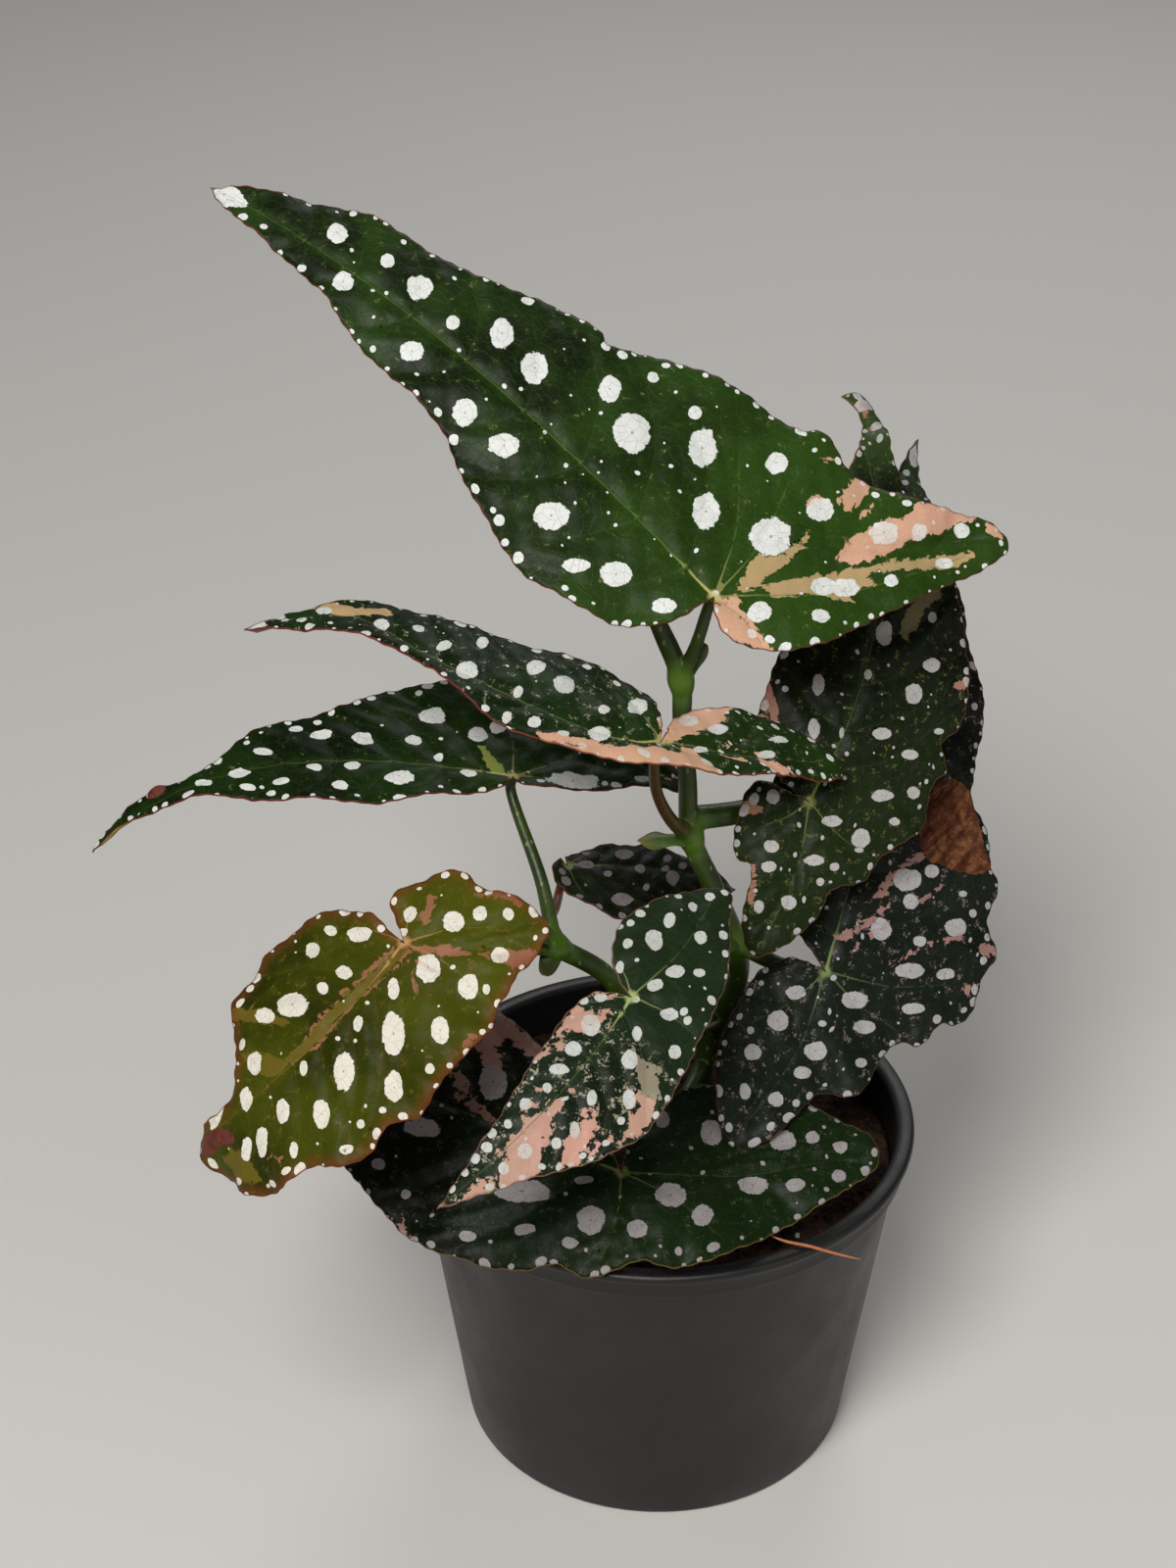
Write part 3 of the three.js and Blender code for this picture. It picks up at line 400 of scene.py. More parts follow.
        [-15, 9, 2.6, 2.6, -37], [-7, 6, 2.6, 1.7, -75], [-24, 13, 2.2, 1.9, -74], [-26, 0, 2.2, 1.5, -75],
        [-34, 13, 1.9, 1.4, 13], [-34, 5, 1.9, 1.8, -72], [-19, 15, 0.9, 0.9, -30], [-13, -2, 1, 0.8, -74],
        [32, -22, 2, 1.7, -64], [147.5, 0.6, 4.2, 1.5, 3], [141, 2, 1.2, 0.8, 20]],
    "sway": [[[-0.66, -8.8, 6.6], [-1, 0], 6, 52]], "mottle": 6, "fleckShare": 0.8, "gloss": 0.1, "tip": 0.3,
    "freckle": 0.06, "dense": [[-30, 20, 20]],
    "blush": [[0.9, [30.7, -13.6], [36, -19]], [1, [22, -8.7], [30.4, -14.3]], [0.6, [8.7, -1.3],
        [14.2, -7.5], [20, -12]], [1.4, [16.8, -41], [16.9, -44]], [1, [5.5, -38.4], [7.5, -41.1]], [0.3,
        [4, -14], [14, -26], [21, -39]], [0.3, [9, -7], [19, -16], [29, -25]]],
    "crisp": [[41, -36], [50, -32], [57, -24], [55, -19], [52, -18], [37, -18], [34, -27], [37, -38]],
    "lobeVeins": [[-42, 10], [-10, -24], [-18, 16], [6, -36]],
    # partly the leaf's own dark green, partly painted shade: tissue, pink patches and spots are darkened and
    # the silver spots greyed, as for a leaf lying in low light
    "look": ["#090d09", "#131913", "#1c261a", "#4c5a3d", "#adacae", "#a07a74", "#6f5a54", "#4a3028",
        "#7a8a58", "#7a6e68"],
}, {
    "name": "leaf_rim", "slot": "blade_dark", "at": [-10, -46, 107], "heading": 154, "climb": 11, "roll": -21,
    "length": 104, "bend": 30, "lobeBend": 20, "foldLeft": 18, "foldRight": 0, "bow": 3, "ruffle": 1,
    "waves": 8,
    "left": [[1, -3], [3, -10], [1, -20], [-4, -28], [-13, -35], [-23, -39], [-36, -39], [-49, -38],
        [-53, -34], [-51, -27], [-40, -5], [-35, 3], [-29, 9], [-22, 15], [-14, 18], [-5, 26], [3, 27],
        [10, 32], [22, 35], [34, 37], [54, 31], [74, 20], [93, 9]],
    "right": [[2.6, -2.2], [12, -9.5], [23, -17], [36, -23], [50, -26], [65, -26], [83, -20], [94, -13]],
    "spots": [[-30, -26, 3.3, 2.7, 39], [-36, -31, 1.8, 1.6, 48], [-43, -32, 1.8, 1.4, 40],
        [-46, -25, 1.9, 1.6, 44], [-38, -17, 2.2, 1.7, 39], [-29, -12, 3.7, 2.5, 34], [-22, 1, 2.7, 2.5, -85],
        [-13, 0, 3.6, 3.1, 34], [-10, 11, 2.7, 2.3, 22], [1, 14, 3.4, 3.1, 19], [3, 21, 2, 1.4, 24],
        [14, 23, 2.6, 1.6, 24], [26, 30, 2.2, 1.3, 22], [-14, -19, 3.5, 2.7, -67], [-21, 11, 1, 1, -40],
        [-2, -17, 2.5, 1.6, -63], [7, 6, 2.3, 1.1, 25], [49, 11, 4.7, 2.3, 19], [55, 23, 1.8, 1.6, -14],
        [45, 27, 1.3, 1.2, -12], [19, 15, 7.3, 2.6, 24], [39, -7, 5.3, 3.3, -58]],
    "patches": [[[48, -25], [41, -25], [36, -25], [31, -21], [35, -18], [41, -20], [43, -16], [39, -12],
        [43, -10], [48, -17]]],
    "creamPatches": [[[50, -8], [46, -6], [42, -2], [33, 2], [34, 3], [42, 1], [47, -2]]],
    "sway": [[[0.5, 6.4, -4.8], [-0.6, -0.8], 6, 24]], "mottle": 9, "fleckShare": 0.8, "gloss": 0.09,
    "freckle": 0.06, "blush": [[1.1, [44, 33], [41, 35]]], "lobeVeins": [[-48, -32], [-30, 4], [-6, 22],
    [12, -8]],
    # partly the leaf's own dark green, partly painted shade: the near-black tissue and the grey spots are
    # darkened as for a leaf lying in low light
    "look": ["#060a04", "#0c1609", "#182e0b", "#3c4c28", "#989394", "#a88078", "#7c6258", "#6e5a2c",
        "#7e8c4c", "#43433c"],
}, {
    "name": "leaf_small", "slot": "blade_dark", "at": [-23, 25, 149], "heading": 21, "climb": -13, "roll": 18,
    "length": 53, "bend": 30, "lobeBend": 20, "foldLeft": 8, "foldRight": 8, "bow": 0, "ruffle": 0.5,
    "waves": 4, "left": [[0, 2.6], [8, 6], [18, 8], [30, 8], [44, 4]],
    "right": [[-1.5, 2], [-4, 0], [-5, -5], [0, -11], [8, -16], [17, -18], [26, -16], [37, -11], [46, -5]],
    "spots": [[17, 4, 3, 1.8, 20], [5, 0, 2.6, 1.3, 7], [20, -1, 2, 1.3, 50], [10, -3, 1.4, 0.9, 17],
        [29, -3, 3.2, 1.8, 58], [28, 0, 1.5, 0.9, 32], [30, 4, 1.7, 1, 40], [34, 2, 1.8, 1, 38],
        [12, -11, 3.3, 1.9, 9], [20, -7, 1.2, 0.8, 47]],
    "blush": [], "lobeVeins": [[2, -10], [10, 5]], "gloss": 0.08,
    # partly the leaf's own dark green, partly painted shade: tissue and spots are darkened and the silver spots
    # greyed, as for a leaf lying in low light
    "look": ["#080c04", "#0e1607", "#162109", "#2f381e", "#756e70", "#8a6a60", "#7c6258", "#5a3426",
        "#6e7c48", "#404135"],
}]

blade = {
    "thickness": 0.7, "thinReach": 1.6, "crease": 10, "steps": 12, "net": 1.05,
    "nibble": 0.16, "ruffleFade": 3, "quilt": 0.85, "quiltReach": 3.2, "quiltEdge": 6, "veinGroove": 0.35,
    "grooveReach": 0.9, "ridge": 0.3, "unevenness": 0.16, "faraway": 9,
}

# side veins leave the midrib at these shares of its length, with a slant; half widths run root to end
veins = {
    "stations": (0.06, 0.16, 0.27, 0.385, 0.5, 0.61, 0.715, 0.81, 0.9), "slant": 0.7, "notchReach": 3,
    "midrib": {"rank": 1.0, "width": [0.5, 0.2, 0.08], "at": [0, 0.15, 1]},
    "side": {"rank": 0.45, "width": [0.18, 0.08], "reach": 0.93, "sag": 0.09, "shortest": 6},
    "lobe": {"rank": 0.7, "width": [0.3, 0.1], "reach": 0.95, "sag": 0.06},
    "fork": {
        "rank": 0.3, "width": [0.11, 0.05], "reach": 0.88, "sag": 0.05, "at": 0.6, "from": 15, "ahead": 0.3},
    "lobeForks": {"from": 22, "size": 0.3, "leans": ((0.38, 0.33), (0.52, -0.3), (0.7, 0.2), (0.78, -0.2))},
}

smallSpot = {
    "marginRadii": [0.35, 0.5, 0.7, 0.9, 1.15], "marginShares": [0.24, 0.24, 0.22, 0.18, 0.12],
    "tinyRadii": [0.25, 0.35, 0.5], "tinyArea": 70, "denseRadii": [0.3, 0.45, 0.65],
}

# the order of the colours in each leaf's look
tones = ("deep", "mid", "fresh", "vein", "spot", "blush", "blushDeep", "margin", "hub", "fleck")


def midribOffset(leaf, s):
    q = np.clip(s / leaf["length"], 0, 1)
    return leaf["bow"] * 4 * q * (1 - q)


# A point of the flat drawing, [along the midrib, across it], carried onto the bent and folded blade.
def bladePoints(leaf, s, t, lift):
    h, c, r = np.radians([leaf["heading"], leaf["climb"], leaf["roll"]])
    along = np.array([np.cos(c) * np.cos(h), np.cos(c) * np.sin(h), np.sin(c)])
    level = np.array([-np.sin(h), np.cos(h), 0])
    across = np.cos(r) * level + np.sin(r) * np.cross(along, level)
    out = np.cross(along, across)

    def turnAt(x):
        q = x / leaf["length"]
        return np.where(x >= 0, np.radians(leaf["bend"]) * q * q, np.radians(leaf["lobeBend"]) * q)

    forward = np.zeros_like(s)
    down = np.zeros_like(s)
    for i in range(blade["steps"]):
        turn = turnAt(s * (i + 0.5) / blade["steps"])
        forward += np.cos(turn) * s / blade["steps"]
        down -= np.sin(turn) * s / blade["steps"]
    offset = midribOffset(leaf, s)
    side = t - offset
    reach = np.abs(side)
    fold = np.radians(np.where(side > 0, leaf["foldLeft"], leaf["foldRight"]))
    fold *= reach / (reach + blade["crease"])
    height = lift - reach * np.sin(fold)
    turn = turnAt(s)
    forward += height * np.sin(turn)
    down += height * np.cos(turn)
    sideways = offset + side * np.cos(fold)
    points = np.array(leaf["at"]) + forward[:, None] * along + sideways[:, None] * across + down[:, None] * out
    # one lobe may sag or rise by a few mm, so that it lies under or over its neighbour
    for shift, (alongPart, acrossPart), start, end in leaf.get("sway", []):
        q = np.clip((s * alongPart + t * acrossPart - start) / (end - start), 0, 1)
        points += (q * q * (3 - 2 * q))[:, None] * np.array(shift)
    return points


def arch(start, end, sag):
    start, end = np.array(start, float), np.array(end, float)
    run = end - start
    aside = np.array([-run[1], run[0]])
    if aside[0] > 0:
        aside = -aside      # veins swing towards the tip only near the margin
    return smoothCurve([start, start + run * 0.5 + aside * sag, end], 1.0)


# Each vein is its points, its half widths and its rank, 1 for the midrib.
def veinLines(leaf, margins):
    length, start = leaf["length"], veins["notchReach"]
    side, lobe, fork, lobeForks = (veins[kind] for kind in ("side", "lobe", "fork", "lobeForks"))
    rib = leaf.get("midrib") or [[x, float(midribOffset(leaf, x))] for x in np.linspace(0, 1, 7) * length]
    rib = smoothCurve(rib, 1.0)
    width = np.interp(np.linspace(0, 1, len(rib) - 3), veins["midrib"]["at"], veins["midrib"]["width"])
    lines = [(rib[:-3], width, veins["midrib"]["rank"])]
    for margin, sign in zip(margins, (1, -1)):
        away = sign * (margin[:, 1] - midribOffset(leaf, margin[:, 0]))
        reach = (margin[:, 0] - veins["slant"] * away - start) / (1 - start / length)
        feet = np.maximum.accumulate(np.where(away > 0, reach, 0))
        for foot in np.array(veins["stations"]) * length:
            hit = int(np.argmax(feet >= foot))
            if feet[-1] < foot or hit == 0:
                continue
            root = rib[np.abs(rib[:, 0] - foot).argmin()]
            end = root + (margin[hit] - root) * side["reach"]
            size = np.linalg.norm(end - root)
            if size < side["shortest"]:
                continue
            main = arch(root, end, side["sag"])
            lines.append((main, side["width"], side["rank"]))
            if size > fork["from"]:
                foot = main[int(len(main) * fork["at"])]
                branch = margin[min(len(margin) - 1, hit + int(fork["ahead"] * size))]
                path = arch(foot, foot + (branch - foot) * fork["reach"], fork["sag"])
                lines.append((path, fork["width"], fork["rank"]))
    for target in np.array(leaf["lobeVeins"], float):
        main = arch((0, 0), target * lobe["reach"], lobe["sag"])
        lines.append((main, lobe["width"], lobe["rank"]))
        aside = np.array([-target[1], target[0]])
        for share, lean in lobeForks["leans"] if np.linalg.norm(target) > lobeForks["from"] else ():
            foot = main[int(len(main) * share)]
            path = arch(foot, foot + target * lobeForks["size"] + aside * lean, fork["sag"])
            lines.append((path, fork["width"], fork["rank"]))
    return lines


# Small spots by rule: a broken row along the margin, and a few tiny ones between the large ones.
def smallSpots(leaf, outline, random):
    placed = [list(spot) for spot in leaf["spots"]]

    def fits(point, radius, room):
        return insideLoop(point[None], outline)[0] and all(
            math.dist(point, q[:2]) > radius + max(q[2:4]) + room for q in placed)

    step = 0
    while step < len(outline):
        ahead = outline[(step + 2) % len(outline)] - outline[step - 2]
        aside = np.array([-ahead[1], ahead[0]]) / (np.linalg.norm(ahead) + 1e-6)
        radius = random.choice(smallSpot["marginRadii"], p=smallSpot["marginShares"])
        reach = radius * random.uniform(0.4, 1.5) + random.choice([0, 1.6], p=[0.75, 0.25])
        for turn in (1, -1):
            point = outline[step] + aside * turn * reach
            if fits(point, radius, 0.4):
                angle = math.degrees(math.atan2(ahead[1], ahead[0])) + random.uniform(-30, 30)
                placed.append([*point, radius * random.uniform(1, 1.5), radius, angle])
                break
        step += int(random.integers(3, 9))
    low, high = outline.min(0), outline.max(0)
    for _ in range(int(np.prod(high - low) / smallSpot["tinyArea"])):
        point = random.uniform(low, high)
        radius = random.choice(smallSpot["tinyRadii"])
        if fits(point, radius, 1.6) and nearest(point[None], outline)[0][0] > 1:
            placed.append([*point, radius * random.uniform(1, 1.4), radius, random.uniform(-90, 90)])
    for start, end, count in leaf.get("dense", []):
        for _ in range(count):
            point = random.uniform([start, low[1]], [end, high[1]])
            radius = random.choice(smallSpot["denseRadii"])
            if fits(point, radius, 0.5):
                placed.append([*point, radius * random.uniform(1, 2.2), radius, random.uniform(-30, 30)])
    return np.array(placed)


# How deep each point lies inside the nearest of these strokes; below zero outside.
def strokeField(points, strokes, floor):
    field = np.full(len(points), float(floor))
    for width, *path in strokes:
        field = np.maximum(field, width - nearest(points, smoothCurve(path, 0.5))[0])
    return field


# How deep each point lies inside the nearest of these closed outlines; below zero outside.
def patchField(points, patches, floor):
    field = np.full(len(points), float(floor))
    for corners in patches:
        loop = smoothCurve(corners + corners[:1], 0.4)
        reach = nearest(points, loop)[0]
        field = np.maximum(field, np.where(insideLoop(points, loop[:-1]), reach, -reach))
    return field


# The flat leaf cut into triangles that follow its margin and its veins.
def bladeNet(outline, lines):
    net = blade["net"]
    low, high = outline.min(0), outline.max(0)
    rows = np.arange(low[1], high[1], net * 0.866)
    columns = np.arange(low[0], high[0], net)
    grid = np.array([[x + (j % 2) * net / 2, y] for j, y in enumerate(rows) for x in columns])
    grid = grid[insideLoop(grid, outline)]
    inner = [p[(nearest(p, outline)[0] > 0.5) & insideLoop(p, outline)] for p, _, _ in lines]
    inner = [p for p in inner if len(p) > 2]
    veinPoints = np.vstack(inner)
    grid = grid[(nearest(grid, outline)[0] > 0.5 * net) & (nearest(grid, veinPoints)[0] > 0.45 * net)]
    flat = np.vstack([outline, veinPoints, grid])
    edges = loopEdges(0, len(outline))
    start = len(outline)
    for p in inner:
        edges += [(start + i, start + i + 1) for i in range(len(p) - 1)]
        start += len(p)
    flat, _, faces, *_ = delaunay_2d_cdt([tuple(p) for p in flat], edges, [], 1, 1e-4)
    flat = np.array([tuple(p) for p in flat])
    faces = np.array([f for f in faces if len(f) == 3])
    faces = faces[insideLoop(flat[faces].mean(1), outline)]
    used, index = np.unique(faces, return_inverse=True)
    flat, faces = flat[used], index.reshape(-1, 3)
    corners = flat[faces]
    turned = np.cross(corners[:, 1] - corners[:, 0], corners[:, 2] - corners[:, 0]) < 0
    faces[turned] = faces[turned][:, ::-1]
    return flat, faces


def bladeObject(leaf, seed, skin, underside):
    random = np.random.default_rng(seed)
    tip = [leaf["length"], 0]
    margins = [smoothCurve(leaf[side] + [tip], 0.95) for side in ("left", "right")]
    outline = np.vstack([[[0, 0]], margins[0], margins[1][-2::-1]])
    ahead = np.roll(outline, -1, axis=0) - np.roll(outline, 1, axis=0)
    aside = np.stack([-ahead[:, 1], ahead[:, 0]], 1) / (np.linalg.norm(ahead, axis=1)[:, None] + 1e-6)
    run = np.arange(len(outline))
    nibble = blade["nibble"] * (np.sin(run * 1.35 + seed) + 0.8 * np.sin(run * 0.53 + 2 * seed))
    nibble[[0, 1, -1]] = 0
    outline = outline + aside * nibble[:, None]
    lines = veinLines(leaf, margins)
    flat, faces = bladeNet(outline, lines)

    samples = [smoothCurve(p, 0.25) for p, _, _ in lines]
    wide = np.concatenate([spread(width, len(p)) for p, (_, width, _) in zip(samples, lines)])
    ranks = np.concatenate([np.full(len(p), rank) for p, (_, _, rank) in zip(samples, lines)])
    veinReach, pick = nearest(flat, np.vstack(samples))
    veinReach[veinReach < 0.13] = 0
    veinWide, veinRank = wide[pick], ranks[pick]
    edgeReach = nearest(flat, smoothCurve(np.vstack([outline, outline[:1]]), 0.3))[0]
    edgeReach[edgeReach < 0.16] = 0
    midReach = nearest(flat, samples[0])[0]

    # ruffle: the margin waves up and down, dying away towards the midrib
    share = midReach / (midReach + edgeReach + 1e-6)
    gaps = np.sqrt(((flat[:, None] - outline[None, 1::2]) ** 2).sum(2)) + 0.5
    pull = (gaps.min(1)[:, None] / gaps) ** 10
    along = (pull * np.linspace(0, 2, outline[1::2].shape[0])[None]).sum(1) / pull.sum(1)
    lift = leaf["ruffle"] * share ** blade["ruffleFade"] * np.sin(2 * np.pi * leaf["waves"] * along + seed)
    # the tissue between the veins is quilted upward, the veins lie in grooves
    inward = np.clip(edgeReach / blade["quiltEdge"], 0, 1)
    quilt = (1 - np.exp(-(veinReach / blade["quiltReach"]) ** 2)) * (0.4 + 0.6 * inward)
    lift += blade["quilt"] * (quilt - 0.5)
    lift -= blade["veinGroove"] * veinRank * np.exp(-(veinReach / blade["grooveReach"]) ** 2)
    x, y = flat.T
    lift += blade["unevenness"] * np.sin(x * 0.71 + seed) * np.sin(y * 0.83 + 2 * seed)
    crisp, turned = (patchField(flat, [leaf[kind]] if kind in leaf else [], -blade["faraway"])
                     for kind in ("crisp", "turned"))
    crinkle = 1.1 * np.sin(x * 0.9) * np.sin(y * 1.1 + 1) + 0.4 * np.sin(x * 2.3 - y)
    lift += np.clip((crisp + 0.5) / 2, 0, 1) * crinkle + 1.2 * np.clip((turned + 0.8) / 2.2, 0, 1)

    middle = bladePoints(leaf, flat[:, 0], flat[:, 1], lift)
    a, b, c = (middle[faces[:, i]] for i in range(3))
    facing = np.cross(b - a, c - a)
    normals = np.zeros_like(middle)
    for i in range(3):
        np.add.at(normals, faces[:, i], facing)
    normals /= np.linalg.norm(normals, axis=1)[:, None] + 1e-12
    half = blade["thickness"] / 2 * (0.5 + 0.5 * np.clip(edgeReach / blade["thinReach"], 0, 1))
    ridge = blade["ridge"] * (0.3 + veinRank) * np.exp(-(veinReach / (0.5 + veinWide)) ** 2)
    ridge *= np.clip(edgeReach / 2, 0, 1)
    top = middle + normals * half[:, None]
    bottom = middle - normals * (half + ridge)[:, None]
    count = len(middle)
    directed = np.vstack([faces[:, [0, 1]], faces[:, [1, 2]], faces[:, [2, 0]]])
    _, back, times = np.unique(np.sort(directed, axis=1), axis=0, return_inverse=True, return_counts=True)
    rim = directed[times[back.ravel()] == 1]
    sides = [[a + count, b + count, b, a] for a, b in rim]
    everyFace = faces.tolist() + (faces[:, ::-1] + count).tolist() + sides
    kinds = [0] * len(faces) + [1] * len(faces) + [0] * len(sides)
    piece = objectFrom("begonia_" + leaf["name"], np.vstack([top, bottom]), everyFace, [skin, underside], kinds)

    # where each face lies on the leaf, and in the frame of its nearest spot
    spots = smallSpots(leaf, outline, random)
    centres = flat[faces].mean(1)

    def spotFrame(points, chosen):
        turn = np.radians(chosen[..., 4])
        d = points - chosen[..., :2]
        x = (d[..., 0] * np.cos(turn) + d[..., 1] * np.sin(turn)) / chosen[..., 2]
        y = (-d[..., 0] * np.sin(turn) + d[..., 1] * np.cos(turn)) / chosen[..., 3]
        return np.stack([x, y], -1)

    local = spotFrame(centres[:, None, :], spots[None, :, :])
    gap = (np.linalg.norm(local, axis=2) - 1) * np.sqrt(spots[:, 2] * spots[:, 3])[None]
    chosen = gap.argmin(1)
    perFace = spotFrame(flat[faces], np.repeat(spots[chosen][:, None, :], 3, axis=1))
    mesh = piece.data
    loops = np.zeros(len(mesh.loops), dtype=np.int32)
    mesh.loops.foreach_get("vertex_index", loops)
    inFrame = np.full((len(mesh.loops), 2), float(blade["faraway"]))
    inFrame[:len(faces) * 3] = perFace.reshape(-1, 2)
    for name, values in (("flat", flat[loops % count]), ("spot", inFrame)):
        mesh.uv_layers.new(name=name).data.foreach_set("uv", values.ravel())
    pink = np.maximum(strokeField(flat, leaf["blush"], -6), patchField(flat, leaf.get("patches", []), -6))
    cream = patchField(flat, leaf.get("creamPatches", []), -6)
    for name, values in {"vein": veinReach, "veinWide": veinWide, "veinRank": veinRank, "edge": edgeReach,
                         "blush": pink, "cream": cream, "crisp": crisp, "turned": turned}.items():
        pointValues(piece, name, np.tile(values, 2))
    print("leaf", leaf["name"], "faces", len(everyFace), "spots", len(spots))
    return piece


# Living blade: yellow-green tissue under a thin satin wax, silver spots, pink patches that run along
# the veins, fine pale veins and a red-brown margin. Patterns are in mm on the flat leaf.
def bladeSkin(leaf, seed):
    look = dict(zip(tones, leaf["look"]))
    length = leaf["length"]
    material, tree, shader = newMaterial("begonia blade " + leaf["name"].replace("leaf_", ""), {
        "Specular IOR Level": leaf.get("gloss", 0.17), "Coat Weight": 0.02, "Coat Roughness": 0.3})
    vein, veinWide, veinRank, edge, blush, cream, crisp, turned, flat, spot = (
        addNode(tree, "ShaderNodeAttribute", (), out, attribute_name=name) for out, names in (
            ("Fac", ("vein", "veinWide", "veinRank", "edge", "blush", "cream", "crisp", "turned")),
            ("Vector", ("flat", "spot"))) for name in names)
    shift = (17.0 * seed, 31.0 * seed, 5.0 * seed)
    place = addNode(tree, "ShaderNodeVectorMath", [flat, shift], 0, operation="ADD")
    along = addNode(tree, "ShaderNodeSeparateXYZ", [flat], 0)
    # a streaked place: quick across the veins, slow along them
    across = addNode(tree, "ShaderNodeCombineXYZ", [vein], 0)
    slow, quick = (
        addNode(tree, "ShaderNodeVectorMath", {0: at, "Scale": scale}, 0, operation="SCALE")
        for at, scale in ((place, 0.16), (across, 0.9)))
    streaked = addNode(tree, "ShaderNodeVectorMath", [slow, quick], 0, operation="ADD")
    broad, medium, fine, streak = (
        addNode(tree, "ShaderNodeTexNoise", {
            "Vector": at, "Scale": scale, "Detail": detail, "Roughness": grit}, "Fac")
        for at, scale, detail, grit in (
            (place, 0.05, 2.0, 0.5), (place, 0.4, 4.0, 0.6), (place, 1.7, 3.0, 0.6),
            (streaked, 1.0, 5.0, 0.62)))
    cells = addNode(tree, "ShaderNodeTexVoronoi", {"Vector": place, "Scale": 0.42, "Randomness": 0.9}, 0,
                    feature="DISTANCE_TO_EDGE")
    spotReach, hubReach = (
        addNode(tree, "ShaderNodeVectorMath", [at], "Value", operation="LENGTH") for at in (spot, flat))
    veinShare = addNode(tree, "ShaderNodeMath", [vein, veinWide], 0, operation="DIVIDE")
    # uneven edges: noise times a weight, added to a distance
    mottle = leaf.get("mottle", 2)
    patchReach, creamReach, spotEdge, rimReach, crispReach, hubEdge = (
        weighted(tree, reach, pairs) for reach, *pairs in (
            (blush, (medium, mottle), (streak, 4.0)), (cream, (medium, mottle), (streak, 4.0)),
            (spotReach, (fine, 0.2), (medium, 0.75)), (edge, (medium, 0.3)), (crisp, (streak, 2.4)),
            (hubReach, (fine, 1.6))))
    patchLevel = 1.95 + mottle / 2
    freckle = leaf.get("freckle", 0)
    # colour layers from the bottom up: the masks multiplied together, the strength, the tint
    layers = [
        ("cloud", 1.0, "mid"), ("base", 0.55, "fresh"), ("besideVein rank", 0.3, "fresh"),
        ("tuft", 0.3, "fresh"), ("grit", 0.22, "deep"), ("net", 0.08, "vein"),
        ("fleck crumb outer", leaf.get("fleckShare", 0.6), "fleck"),
        ("tip", leaf.get("tip", 0), "#40582a"), ("patch", 1.0, "blush"), ("patch cloud", 0.3, "blushDeep"),
        ("cream", 1.0, "blushDeep"), ("patch grit", 0.15, "fleck"), ("line rank", 0.6, "vein"),
        ("line nearHub rank rank", 0.8, "hub"), ("flush", leaf.get("flush", 0), "margin"),
        ("spot", 1.0, "spot"), ("spot crack", 0.35, "fresh"), ("spot grit", 0.08, "fleck"),
        ("spot patch", 0.26, "blush"), ("spot pin", 0.6, "mid"), ("hub", 0.85, "hub"), ("rim", 0.85, "margin")]
    if "crisp" in leaf:
        layers += [("bake", 1.0, "#5a301e"), ("bake singe", 0.7, "#8a5c3c"), ("bake scorch", 0.6, "#331810"),
                   ("bake grit", 0.35, "#24110b")]
    if "turned" in leaf:
        layers += [("fold", 1.0, "#6a3a30"), ("fold scorch", 0.5, "#4a1f1a")]
    layers = [layer for layer in layers if layer[1] > 0]
    used = {name for layer in layers for name in layer[0].split()}
    outerFrom = leaf.get("freckleFrom", -99)
    # each mask runs smoothly from 0 at its first value to 1 at its second
    ranges = {
        "cloud": (broad, 0.36, 0.66), "tuft": (medium, 0.48, 0.72), "grit": (fine, 0.35, 0.7),
        "besideVein": (vein, 2.6, 0.4), "rank": (veinRank, 0.25, 1.0), "line": (veinShare, 1.25, 0.6),
        "base": (along, 0.42 * length, -0.15 * length), "tip": (along, 0.74 * length, 0.92 * length),
        "net": (cells, 0.05, 0.0), "fleck": (medium, 0.62 - freckle, 0.66 - freckle),
        "crumb": (fine, 0.5, 0.57), "outer": (along, outerFrom - 4, outerFrom + 4),
        "patch": (patchReach, patchLevel, patchLevel + 0.2), "spot": (spotEdge, 1.49, 1.43),
        "cream": (creamReach, patchLevel, patchLevel + 0.2), "crack": (cells, 0.03, 0.0),
        "pin": (spotReach, 0.09, 0.05),
        "hub": (hubEdge, 3.0, 1.4), "nearHub": (hubReach, 16.0, 2.0), "rim": (rimReach, 0.45, 0.3),
        "flush": (rimReach, 4.0, 0.3), "bake": (crispReach, 1.0, 1.2), "singe": (streak, 0.42, 0.6),
        "scorch": (medium, 0.42, 0.6), "fold": (turned, -0.15, 0.1)}
    masks = {name: addNode(tree, "ShaderNodeMapRange", ranges[name], 0, interpolation_type="SMOOTHSTEP")
             for name in ranges if name in used}
    colour = look["deep"]
    for names, strength, tint in layers:
        for name in names.split():
            strength = addNode(tree, "ShaderNodeMath", [masks[name], strength], 0, operation="MULTIPLY")
        inputs = {0: strength, 6: colour, 7: look.get(tint, tint)}
        colour = addNode(tree, "ShaderNodeMix", inputs, 2, data_type="RGBA")
    dull = [(fine, 0.14), (masks["spot"], 0.1)]
    if "bake" in masks:
        dull.append((masks["bake"], 0.3))
    tree.links.new(weighted(tree, 0.36, dull), shader.inputs["Roughness"])
    groove = addNode(tree, "ShaderNodeMath", [masks["line"], veinRank], 0, operation="MULTIPLY")
    height = weighted(tree, 0.0, (
        (groove, -0.12), (masks["net"], -0.04), (medium, 0.1), (fine, 0.05), (masks["spot"], 0.05)))
    dress(tree, shader, colour, height, 0.8, 1.0)
    return material


